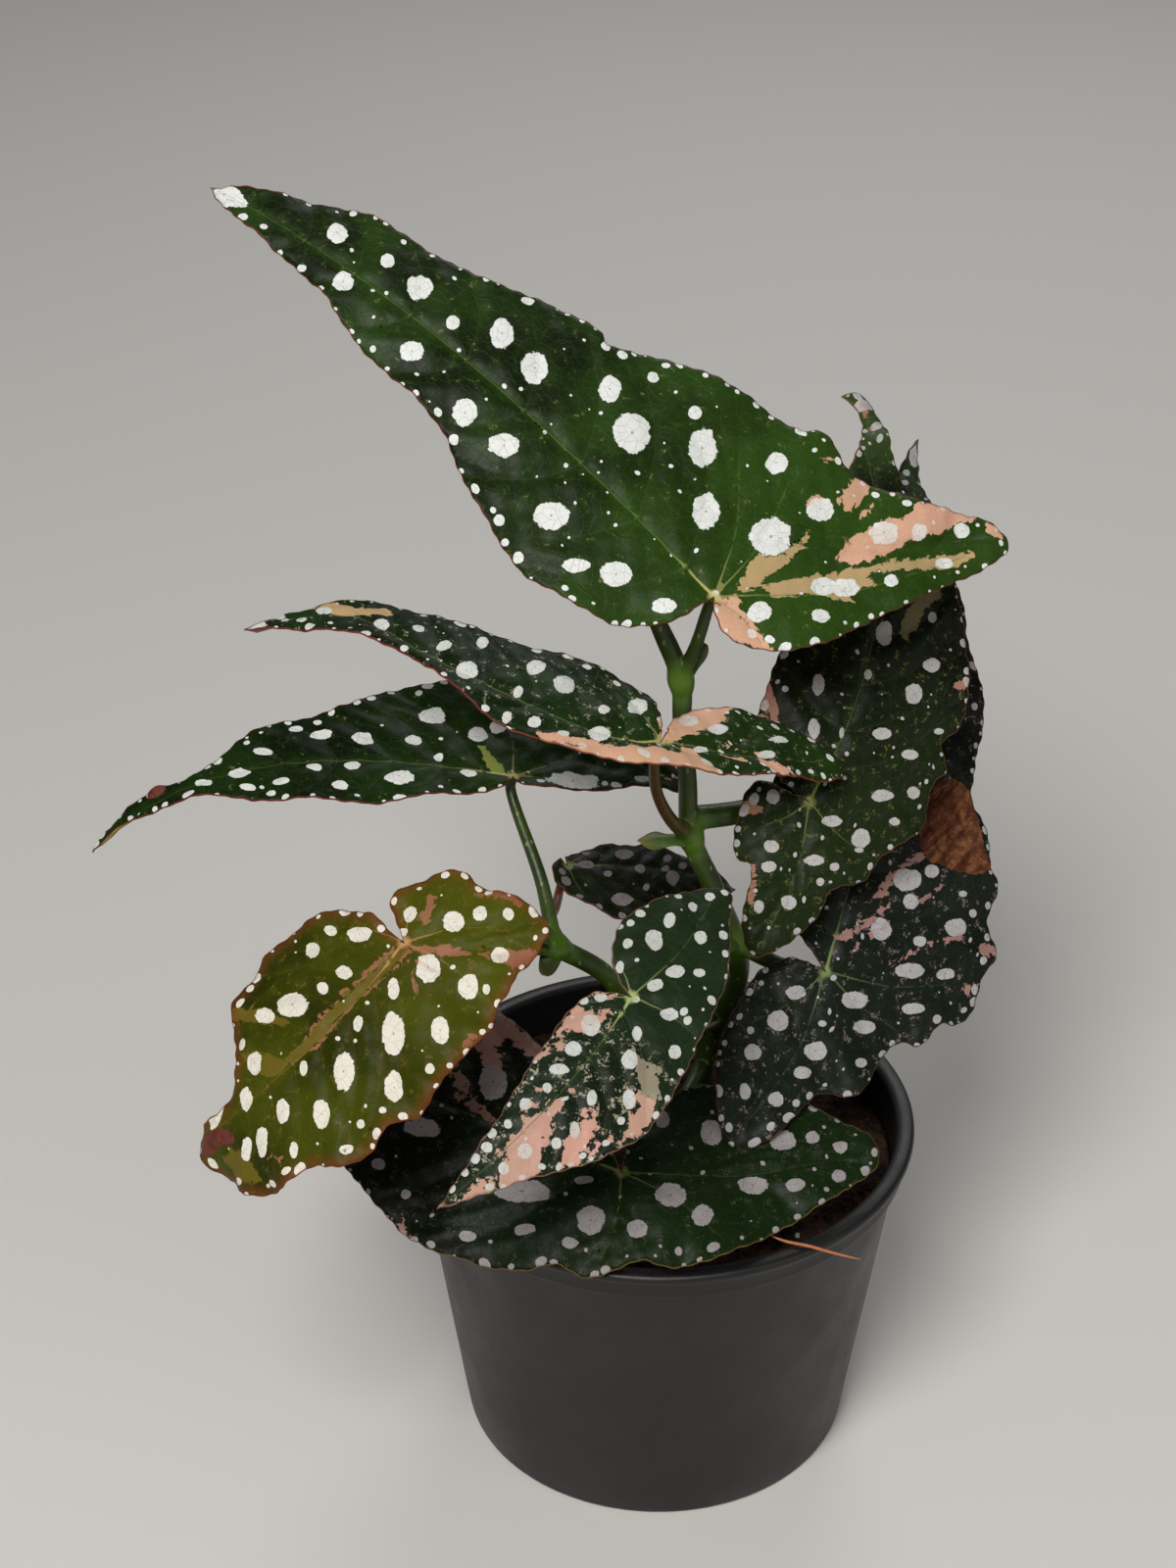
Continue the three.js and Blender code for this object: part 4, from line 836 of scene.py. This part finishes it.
# Underside: wine red between raised greenish veins.
underside = skinFrom(
    "begonia blade underside", {"Roughness": 0.5, "Specular IOR Level": 0.4}, "#3d0f12",
    {"fine": ("Noise", 1, {"Scale": 0.5, "Detail": 4.0}),
     "cells": ("Voronoi", 1, {"Scale": 0.42}, "DISTANCE_TO_EDGE")},
    [("fine", 0.0, 1.0, 1.0, "#7a2430"), ("vein", 0.9, 0.3, "veinRank", "#8a7a3c")],
    ({"fine": 1.0, "cells": -0.3}, 0.6, 0.3), ("vein", "veinRank"), "flat")
for seed, leaf in enumerate(leaves, 1):
    piece = bladeObject(leaf, seed, bladeSkin(leaf, seed), underside)
    settle(piece, leaf["name"])


def newTree(name, inputs):
    tree = bpy.data.node_groups.new(name, "GeometryNodeTree")
    tree.interface.new_socket("Geometry", in_out="INPUT", socket_type="NodeSocketGeometry")
    for label, kind in inputs.items():
        tree.interface.new_socket(label, in_out="INPUT", socket_type="NodeSocket" + kind)
    tree.interface.new_socket("Geometry", in_out="OUTPUT", socket_type="NodeSocketGeometry")
    return tree, addNode(tree, "NodeGroupInput").outputs


# Runs the tree on the piece with these input values and keeps the result as a plain mesh.
def grown(piece, tree, values):
    modifier = piece.modifiers.new(tree.name, "NODES")
    modifier.node_group = tree
    for item in tree.interface.items_tree:
        if item.in_out == "INPUT" and item.name in values:
            modifier[item.identifier] = values[item.name]
    return frozen(piece)


# The piece with its modifiers made real, in a new object of the same name.
def frozen(piece):
    mesh = bpy.data.meshes.new_from_object(piece.evaluated_get(bpy.context.evaluated_depsgraph_get()))
    name = piece.name
    bpy.data.objects.remove(piece)
    return linked(name, mesh)


pot = {
    "sides": 144, "innerTop": 60.2, "wallTop": 82, "taper": 11.6, "innerFoot": 48.8, "floor": 1.4,
    "footRadius": 49, "drainCount": 6, "drainRadius": 4, "drainRing": 36, "drainSides": 28,
    "outside": [
        [49, 0], [49.6, 0.2], [49.95, 0.7], [50.15, 1.5], [51.1, 8], [61.2, 80.2], [61.5, 81.2], [62.2, 81.8],
        [63, 82.1], [63.35, 82.6], [63.4, 83.4], [63.4, 86.4], [63.6, 86.9], [64.3, 87.2], [64.8, 87.7],
        [65, 88.4], [64.95, 89.1], [64.6, 89.7], [64, 90], [62.3, 90], [61.2, 89.9], [60.6, 89.5], [60.3, 88.8],
        [60.2, 87.5], [60.2, 82], [49.5, 6.5], [48.95, 2.2], [48.8, 1.4]],
}

# Satin black plastic: a fine grain, faint streaks up the wall and a thin film of dust in clouds.
potSkin = skinFrom(
    "black nursery pot plastic", {"Roughness": 0.42, "Specular IOR Level": 0.5}, "#0c0c0d",
    {"grain": ("Noise", 1, {"Scale": 1400.0, "Detail": 3.0}),
     "dust": ("Noise", 1, {"Scale": 38.0, "Detail": 6.0, "Roughness": 0.65}),
     "streak": ("Noise", 0.03, {"Scale": 260.0, "Detail": 2.0})},
    [("dust", 0.5, 0.8, 0.5, "#232120")], ({"grain": 1.0, "streak": 1.6}, 0.35, 0.12),
    rough=("dust", 0.3, 0.75, 0.36, 0.6))


def potObject():
    sides, count, holeSides = pot["sides"], pot["drainCount"], pot["drainSides"]
    circle, hole = circleOf(sides), circleOf(holeSides) * pot["drainRadius"]
    points = np.vstack([np.column_stack([circle * r, np.full(sides, z)]) for r, z in pot["outside"]])
    last = (len(pot["outside"]) - 1) * sides
    faces = [face for k in range(0, last, sides) for face in band(k, k + sides, sides)]
    # the base, a disc with round drain holes, once underneath and once inside
    drains = []
    for i in range(count):
        at = (i + 0.5) / count * 2 * np.pi
        drains.append(np.array([np.cos(at), np.sin(at)]) * pot["drainRing"] + hole)
    starts = []
    for ring, level, radius in ((0, 0, pot["footRadius"]), (last, pot["floor"], pot["innerFoot"])):
        flat = np.vstack([circle * radius, *drains])
        edges = loopEdges(0, sides)
        for i in range(count):
            edges += loopEdges(sides + i * holeSides, holeSides)
        out, _, tris, *_ = delaunay_2d_cdt([tuple(p) for p in flat], edges, [], 1, 1e-5)
        tris = np.array(tris)
        centres = np.array([tuple(p) for p in out])[tris].mean(1)
        keep = np.all([~insideLoop(centres, d) for d in drains], axis=0)
        start = len(points) - sides
        starts.append(start + sides)
        points = np.vstack([points, np.column_stack([flat[sides:], np.full(len(flat) - sides, level)])])
        faces += [[ring + v if v < sides else start + v for v in tri] for tri in tris[keep]]
    for i in range(count):
        faces += band(starts[0] + i * holeSides, starts[1] + i * holeSides, holeSides)
    piece = objectFrom("nursery_pot", points, faces, [potSkin])
    outwardFaces(piece)
    return piece


settle(potObject(), "pot")
print("pot")

soil = {
    "level": 79, "bump": 1.6, "gap": 0.3, "shoulder": 3.2, "foot": 62, "rings": 46, "sides": 200, "seed": 5,
    "crumbs": 42000.0, "bark": 9000.0, "grains": 1500.0, "bedRadius": 56.5,
}


def soilHeight(x, y):
    broad = np.sin(0.21 * x + 1.3) * np.cos(0.17 * y - 0.6)
    return soil["bump"] * (broad + 0.4 * np.sin(0.43 * x - 0.31 * y))


def innerRadius(z):
    return pot["innerTop"] - pot["taper"] * max(0, 1 - z / pot["wallTop"])


# Dark damp soil: peaty blotches over a crumbly surface.
soilSkin = skinFrom(
    "dark potting soil", {"Roughness": 0.92, "Specular IOR Level": 0.2}, "#17100c",
    {"coarse": ("Noise", 1, {"Scale": 220.0, "Detail": 6.0, "Roughness": 0.7}),
     "fine": ("Voronoi", 1, {"Scale": 900.0})},
    [("coarse", 0.42, 0.7, 1.0, "#4a2f20")], ({"fine": 1.0, "coarse": 2.0}, 0.9, 0.6))

# Loose bits that differ from one another in shade: dull peat, redder bark, white perlite.
crumbSkin, barkSkin, grainSkin = (
    skinFrom(name, {"Roughness": rough, "Specular IOR Level": 0.25}, dark,
             {"shade": ("Noise", 1, {"Scale": 120.0, "Detail": 5.0, "Roughness": 0.7}),
              "fine": ("Noise", 1, {"Scale": 1500.0, "Detail": 3.0})},
             [("shade", 0.35, 0.65, 1.0, light)], ({"fine": 1.0}, 0.6, 0.2))
    for name, dark, light, rough in (
        ("peat crumbs", "#120c09", "#3a261b", 0.95), ("red-brown bark chips", "#3a1d12", "#7a452c", 0.85),
        ("white perlite grains", "#b9b4aa", "#e6e2d8", 0.9)))


# A broken lump of a few dozen faces, stretched into a chip.
def lump(name, size, seed, stretch, material):
    random = np.random.default_rng(seed)
    work = bmesh.new()
    bmesh.ops.create_icosphere(work, subdivisions=1, radius=1)
    for v in work.verts:
        pull = 0.7 + 0.6 * random.random()
        v.co = [c * pull * size * k * mm for c, k in zip(v.co, stretch)]
    mesh = bpy.data.meshes.new(name)
    work.to_mesh(mesh)
    work.free()
    mesh.materials.append(material)
    return bpy.data.objects.new(name, mesh)


def crumbTree():
    kinds = ("Crumb", "Bark", "Grain")
    inputs = {"Soil skin": "Material", "Seed": "Int"}
    for kind in kinds:
        inputs.update({kind: "Object", kind + " density": "Float", kind + " skin": "Material"})
    tree, given = newTree("scattered soil crumbs", inputs)
    ground = given["Geometry"]
    bed = addNode(tree, "GeometryNodeInputNamedAttribute", {"Name": "bed"}, "Attribute", data_type="FLOAT")
    layers = [(ground, given["Soil skin"])]
    for offset, kind in enumerate(kinds):
        seed = addNode(tree, "ShaderNodeMath", [given["Seed"], float(offset * 7)], 0, operation="ADD")
        dots = addNode(tree, "GeometryNodeDistributePointsOnFaces", {
            "Mesh": ground, "Selection": bed, "Density": given[kind + " density"], "Seed": seed}, "Points")
        turn = addNode(tree, "FunctionNodeRandomValue", {0: (0, 0, 0), 1: (6.3, 6.3, 6.3), "Seed": seed}, 0,
                       data_type="FLOAT_VECTOR")
        scale = addNode(tree, "FunctionNodeRandomValue", {2: 0.35, 3: 1.25, "Seed": seed}, 1,
                        data_type="FLOAT")
        shape = addNode(tree, "GeometryNodeObjectInfo", {"Object": given[kind]}, "Geometry")
        copies = addNode(tree, "GeometryNodeInstanceOnPoints", {
            "Points": dots, "Instance": shape, "Rotation": turn, "Scale": scale}, 0)
        real = addNode(tree, "GeometryNodeRealizeInstances", {"Geometry": copies}, 0)
        layers.append((real, given[kind + " skin"]))
    joined = addNode(tree, "GeometryNodeJoinGeometry")
    for part, skin in reversed(layers):
        skinned = addNode(tree, "GeometryNodeSetMaterial", {"Geometry": part, "Material": skin}, 0)
        tree.links.new(skinned, joined.inputs[0])
    addNode(tree, "NodeGroupOutput", {"Geometry": joined.outputs[0]})
    return tree


def soilObject():
    sides, rings = soil["sides"], soil["rings"]
    topRadius = innerRadius(soil["level"] - soil["shoulder"]) - soil["gap"]
    circle = circleOf(sides)
    flat = np.vstack([[[0, 0]]] + [circle * topRadius * (k + 1) / rings for k in range(rings)])
    x, y = flat.T
    rough = sum(a * np.sin(x * f + p) * np.sin(y * g + q) for a, f, g, p, q in (
        (0.5, 0.61, 0.77, 1, 2), (0.35, 1.13, 0.91, 4, 1), (0.22, 1.9, 2.3, 2, 5), (0.16, 3.1, 2.7, 0.5, 3)))
    edge = np.clip((topRadius - np.hypot(x, y)) / 4, 0, 1)
    height = soil["level"] + (soilHeight(x, y) + rough) * (0.35 + 0.65 * edge) - 0.6 * (1 - edge)
    points = np.column_stack([flat, height])
    faces = [[0, 1 + j, 1 + (j + 1) % sides] for j in range(sides)]
    for k in range(rings - 1):
        faces += band(1 + k * sides, 1 + (k + 1) * sides, sides)
    foot = len(points)
    footRadius = innerRadius(soil["foot"]) - soil["gap"]
    points = np.vstack([points, np.column_stack([circle * footRadius, np.full(sides, soil["foot"])])])
    faces += band(foot - sides, foot, sides)
    faces.append([foot + j for j in range(sides)][::-1])
    piece = objectFrom("potting_soil", points, faces, [soilSkin])
    pointValues(piece, "bed", np.concatenate([np.hypot(x, y) < soil["bedRadius"], np.zeros(sides)]))
    shapes = {
        "Crumb": lump("crumb_shape", 1.1, 3, (1.1, 0.9, 0.8), crumbSkin),
        "Bark": lump("bark_shape", 1.5, 4, (2.4, 1.0, 0.4), barkSkin),
        "Grain": lump("grain_shape", 1.0, 6, (1.0, 0.9, 0.8), grainSkin),
    }
    piece = grown(piece, crumbTree(), {
        "Soil skin": soilSkin, "Seed": soil["seed"], "Crumb skin": crumbSkin, "Bark skin": barkSkin,
        "Grain skin": grainSkin, "Crumb density": soil["crumbs"], "Bark density": soil["bark"],
        "Grain density": soil["grains"], **shapes})
    for shape in shapes.values():
        bpy.data.objects.remove(shape)
    return piece


settle(soilObject(), "soil")
print("soil")


# Each stem is a path in mm with radii spread evenly along it.
mainCane = {
    "joints": [[19, 11, 135], [7, 8, 168], [4, 10, 210]], "swell": 0.95,
    "stems": [
        {"path": [[12, 24, 66], [12, 24, 85], [16, 20, 107], [20, 15, 121], [19, 11, 135], [13, 9, 152],
                  [7, 8, 168], [6, 9, 183], [4.5, 10, 199], [4, 10, 210], [-1, 9, 224], [-5, 7, 234]],
         "radii": [2.7, 2.7, 2.6, 2.6, 2.7, 2.5, 2.7, 2.4, 2.3, 2.4, 2.4, 1.8]},
        {"path": [[-5, 7, 233], [-7, 6.4, 237], [-9.5, 5.6, 242]], "radii": [1.8, 2.1, 0.5]},
        {"leaf": "leaf_top", "path": [[4, 10, 210], [7.5, 6, 222]], "radii": [2, 1.6, 1.5, 1.3]},
        {"leaf": "leaf_upper_left", "path": [[7, 8, 168], [2, 0, 177], [-2, -7, 190]],
         "radii": [2.4, 1.7, 1.5, 1.4, 1.3], "red": 0.5},
        {"leaf": "leaf_right", "path": [[6, 9, 172], [18, 15, 170], [28, 19, 170]],
         "radii": [3.1, 3, 2.9, 2.4, 1.6]},
        {"leaf": "leaf_lower_right", "path": [[19, 11, 135], [29, 7, 131]], "radii": [2.6, 2.1, 1.8, 1.4]},
        {"leaf": "leaf_front", "path": [[15, 21, 104], [10, 4, 113], [1, -25, 132]],
         "radii": [2.2, 1.8, 1.6, 1.5, 1.2]},
        {"leaf": "leaf_rim", "path": [[12, 24, 88], [9, 10, 92], [-2, -18, 93]],
         "radii": [2.2, 1.9, 1.8, 1.7, 1.4]},
    ],
    "flaps": [
        [[7, 7, 168], [-6, 2, 170], 5], [[19, 10, 136], [14, 2, 140], 5], [[4, 10, 210], [10, 13, 218], 4],
        [[-4, 7.5, 231], [-1, 3, 241], 4]],
}

sideCane = {
    "joints": [[-26, -15, 151]], "swell": 1.0,
    "stems": [
        {"path": [[-2, 6, 66], [-2, 6, 85], [-5, 0, 112], [-13, -8, 137], [-26, -15, 151]],
         "radii": [2.4, 2.4, 2.3, 2.4, 2.5]},
        {"path": [[-26, -15, 151], [-29, -16.5, 156], [-31, -18, 163]], "radii": [2.3, 1.9, 0.5]},
        {"leaf": "leaf_middle_left", "path": [[-26, -15, 151], [-29, -8, 164]], "radii": [2, 1.7, 1.5, 1.3]},
        {"leaf": "leaf_olive", "path": [[-26, -15, 151], [-42, -26, 156]], "radii": [2, 1.7, 1.5, 1.3]},
        {"leaf": "leaf_small", "path": [[-26, -15, 151], [-28, -3, 149], [-26, 12, 145]],
         "radii": [2, 1.6, 1.4, 1.2, 1], "red": 0.8},
    ],
    "flaps": [[[-26.5, -15, 151], [-31, -19, 161.5], 7], [[-26, -15, 151], [-28.3, -20, 145.5], 5]],
}

stemMesh = {
    "spacing": 0.7, "sides": 20, "voxel": 0.34, "smoothings": 5, "neck": 3, "end": 0.8,
    "scar": 0.16,
}

# Green stem skin: lengthwise streaks, pale breathing spots, browner scars round the joints.
caneSkin = skinFrom(
    "waxy green cane",
    {"Roughness": 0.4, "Specular IOR Level": 0.35, "Coat Weight": 0.06, "Coat Roughness": 0.3}, "#1e2b08",
    {"streak": ("Noise", 0.16, {"Scale": 900.0, "Detail": 4.0, "Roughness": 0.6}),
     "cloud": ("Noise", 1, {"Scale": 60.0, "Detail": 3.0}), "dots": ("Voronoi", 0.5, {"Scale": 420.0})},
    [("cloud", 0.35, 0.65, 1.0, "#33470f"), ("streak", 0.5, 0.8, 0.5, "#1d300b"),
     ("dots", 0.2, 0.12, 0.5, "#8a9458"), ("joint", 8.0, 2.0, 0.6, "#5f8a20"),
     ("joint", 1.6, 0.6, 0.4, "#6e5028"), ("red", 0.0, 1.0, 1.0, "#6a2a20")],
    ({"streak": 1.0, "dots": -0.8}, 0.5, 0.25), ("joint", "red"))

# Thin translucent stipule, papery at its tip.
stipuleSkin = skinFrom(
    "papery stipule", {"Roughness": 0.5, "Subsurface Weight": 0.2, "Subsurface Radius": (0.002, 0.003, 0.001)},
    "#2e4212", {"mottle": ("Noise", 1, {"Scale": 500.0, "Detail": 4.0})},
    [("mottle", 0.0, 1.0, 1.0, "#49671f"), ("reach", 0.6, 1.0, 1.0, "#66602c")],
    ({"mottle": 1.0}, 0.4, 0.2), ("reach",))


# Which way the blade faces where it meets its stalk.
def bladeOut(leaf):
    step = 0.01
    plain = {**leaf, "foldLeft": 0, "foldRight": 0, "bow": 0}
    place = bladePoints(plain, np.array([0.0, step, 0.0]), np.array([0.0, 0.0, step]), np.zeros(3))
    out = np.cross(place[1] - place[0], place[2] - place[0])
    return out / np.linalg.norm(out)


def stemPath(stem):
    path = list(stem["path"])
    if "leaf" in stem:
        leaf = next(item for item in leaves if item["name"] == stem["leaf"])
        out = bladeOut(leaf)
        path += [list(np.array(leaf["at"]) - short * out)
                 for short in (stemMesh["neck"] + stemMesh["end"], stemMesh["end"])]
    points = smoothCurve(path, stemMesh["spacing"])
    return points, spread(stem["radii"], len(points))


# Tubes along curves: each curve is given a round section as wide as its points' radius.
def tubeTree():
    tree, given = newTree("stems along curves", {"Sides": "Int", "Skin": "Material"})
    ring = addNode(tree, "GeometryNodeCurvePrimitiveCircle", {"Resolution": given["Sides"], "Radius": 1.0}, 0)
    radius = addNode(tree, "GeometryNodeInputRadius", (), 0)
    tube = addNode(tree, "GeometryNodeCurveToMesh", {
        "Curve": given["Geometry"], "Profile Curve": ring, "Scale": radius, "Fill Caps": True}, 0)
    real = addNode(tree, "GeometryNodeRealizeInstances", {"Geometry": tube}, 0)
    skinned = addNode(tree, "GeometryNodeSetMaterial", {"Geometry": real, "Material": given["Skin"]}, 0)
    addNode(tree, "NodeGroupOutput", {"Geometry": skinned})
    return tree


tubes = tubeTree()


def curvesFrom(name, stems, joints=(), swell=0.0):
    data = bpy.data.curves.new(name, "CURVE")
    data.dimensions = "3D"
    for points, radii in stems:
        line = data.splines.new("POLY")
        line.points.add(len(points) - 1)
        if len(joints):
            gap = nearest(points, np.array(joints, float))[0]
            scar = stemMesh["scar"] * np.exp(-((gap - 4.2) / 0.7) ** 2)
            radii = radii + swell * np.exp(-(gap / 3.2) ** 2) - scar
        line.points.foreach_set("co", np.column_stack([points * mm, np.ones(len(points))]).ravel())
        line.points.foreach_set("radius", radii * mm)
    return linked(name, data)


def caneObject(name, cane, skin):
    paths = [stemPath(stem) for stem in cane["stems"]]
    piece = curvesFrom(name, paths, cane["joints"], cane["swell"])
    piece = grown(piece, tubes, {"Sides": stemMesh["sides"], "Skin": skin})
    fuse = piece.modifiers.new("grown together", "REMESH")
    fuse.mode = "VOXEL"
    fuse.voxel_size = stemMesh["voxel"] * mm
    piece = frozen(piece)
    work = bmesh.new()
    work.from_mesh(piece.data)
    for _ in range(stemMesh["smoothings"]):
        bmesh.ops.smooth_vert(
            work, verts=work.verts, factor=0.5, use_axis_x=True, use_axis_y=True, use_axis_z=True)
    work.to_mesh(piece.data)
    work.free()
    mesh = piece.data
    mesh.materials.clear()
    mesh.materials.append(skin)
    mesh.polygons.foreach_set("use_smooth", np.ones(len(mesh.polygons), dtype=bool))
    place = np.zeros(len(mesh.vertices) * 3)
    mesh.vertices.foreach_get("co", place)
    place = place.reshape(-1, 3) / mm
    gap = nearest(place, np.array(cane["joints"], float))[0]
    pointValues(piece, "joint", gap)
    red = np.zeros(len(place))
    for stem, (points, radii) in zip(cane["stems"], paths):
        if "red" in stem:
            red = np.maximum(red, np.clip(1.6 - nearest(place, points[6:])[0] / 1.6, 0, 1) * stem["red"])
    pointValues(piece, "red", red)
    print(name, "faces", len(mesh.polygons))
    return piece


# A stipule: a cupped, pointed flap with a waved edge.
def flapPoints(root, tip, width, seed):
    root, tip = np.array(root, float), np.array(tip, float)
    along = tip - root
    length = np.linalg.norm(along)
    along /= length
    across = np.cross(along, [0.3, -0.2, 1.0])
    across /= np.linalg.norm(across)
    out = np.cross(across, along)
    rows, columns = 14, 9
    points, reach = [], []
    for side in (1, -1):
        for i in range(rows):
            u = 0.02 + 0.97 * i / (rows - 1)
            half = width / 2 * math.sin(math.pi * u ** 0.8) ** 0.42 + 0.12
            for j in range(columns):
                v = -1 + 2 * j / (columns - 1)
                wave = 0.16 * width * math.sin(9 * u + seed + 2 * v)
                cup = (wave - 0.42 * half) * v * v + 0.5 * math.sin(math.pi * u)
                thick = 0.2 * (1 - 0.6 * v * v)
                points.append(root + along * length * u + across * half * v + out * (cup + side * thick))
                reach.append(u)
    count = rows * columns
    faces = []
    for i in range(rows - 1):
        for j in range(columns - 1):
            a = i * columns + j
            faces.append([a, a + 1, a + 1 + columns, a + columns])
            faces.append([count + a, count + a + columns, count + a + 1 + columns, count + a + 1])
    right, far = columns - 1, (rows - 1) * columns
    loop = [*range(columns), *range(right + columns, count, columns)]
    loop += [*range(count - 2, far - 1, -1), *range(far - columns, 0, -columns)]
    faces += [[a, a + count, b + count, b] for a, b in zip(loop, loop[1:] + loop[:1])]
    return points, faces, reach


def flapsObject(name, cane, skin):
    points, faces, reach = [], [], []
    for seed, (root, tip, width) in enumerate(cane["flaps"]):
        p, f, r = flapPoints(root, tip, width, seed)
        faces += [[v + len(points) for v in face] for face in f]
        points += p
        reach += r
    piece = objectFrom(name, points, faces, [skin])
    pointValues(piece, "reach", reach)
    outwardFaces(piece)
    return piece


for cane, node in ((mainCane, "main_cane"), (sideCane, "side_cane")):
    settle(caneObject("begonia_" + node, cane, caneSkin), node)
    settle(flapsObject("begonia_" + node + "_stipules", cane, stipuleSkin), node)

fibre = {
    "path": [[24, -49, 91], [29, -52, 90.75], [35, -54, 90.75], [41, -56, 90.2], [47, -56, 88.4]],
    "radii": [0.12, 0.36, 0.4, 0.34, 0.1], "spacing": 0.8, "sides": 10,
}

# Dry plant thread, dull and orange-brown in uneven lengths.
fibreSkin = skinFrom(
    "dry orange-brown fibre", {"Roughness": 0.75}, "#8a4426",
    {"mottle": ("Noise", 1, {"Scale": 700.0, "Detail": 4.0})}, [("mottle", 0.0, 1.0, 1.0, "#d38a5a")],
    ({"mottle": 1.0}, 0.5, 0.1))
thread = smoothCurve(fibre["path"], fibre["spacing"])
fibrePiece = curvesFrom("dry_fibre_thread", [(thread, spread(fibre["radii"], len(thread)))])
settle(grown(fibrePiece, tubes, {"Sides": fibre["sides"], "Skin": fibreSkin}), "dry_fibre")
print("fibre")


# Matt pale floor with a faint tooth.
def stageFloor():
    material, tree, shader = newMaterial("pale studio floor", {"Roughness": 0.7, "Base Color": "#d9d8d5"})
    grain = addNode(tree, "ShaderNodeTexNoise", {"Scale": 30.0, "Detail": 2.0}, "Fac")
    bump = addNode(tree, "ShaderNodeBump", {"Height": grain, "Strength": 0.02}, 0)
    tree.links.new(bump, shader.inputs["Normal"])
    corners = [[x * floorReach, y * floorReach, 0] for x, y in ((-1, -1), (1, -1), (1, 1), (-1, 1))]
    floor = objectFrom("studio_floor", corners, [[0, 1, 2, 3]], [material])


def softLight(name, place, height, size, power, colour):
    data = bpy.data.lights.new(name, "AREA")
    data.shape = "DISK"
    data.size = size
    data.energy = power
    data.color = linear(colour)[:3]
    lamp = linked(name, data)
    lamp.location = place
    aim = np.array([0, 0, height]) - np.array(place)
    tilt = math.acos(-aim[2] / np.linalg.norm(aim))
    lamp.rotation_euler = (tilt, 0, math.atan2(aim[1], aim[0]) - math.pi / 2)


floorReach = 4000
stageFloor()
softLight("key_light", (-0.35, -1.0, 1.35), 0.2, 0.7, 22, "#fffcf8")
softLight("fill_light", (1.3, -0.9, 0.8), 0.15, 1.0, 3, "#fff8f0")
softLight("back_light", (0.3, 1.3, 1.2), 0.2, 0.8, 5, "#ffffff")
world = bpy.data.worlds.new("soft studio")
world.use_nodes = True
world.node_tree.nodes["Background"].inputs["Color"].default_value = linear("#e8e6e2")
world.node_tree.nodes["Background"].inputs["Strength"].default_value = 0.16
bpy.context.scene.world = world
bpy.context.scene.view_settings.view_transform = "Standard"

cameraData = bpy.data.cameras.new("photo_camera")
cameraData.lens = 67.2
cameraData.sensor_width = 36
cameraData.clip_start = 0.01
camera = linked("photo_camera", cameraData)
camera.location = (-0.018, -0.6003, 0.5407)
camera.rotation_euler = (math.radians(59.5), 0, 0)
bpy.context.scene.camera = camera

print("done")
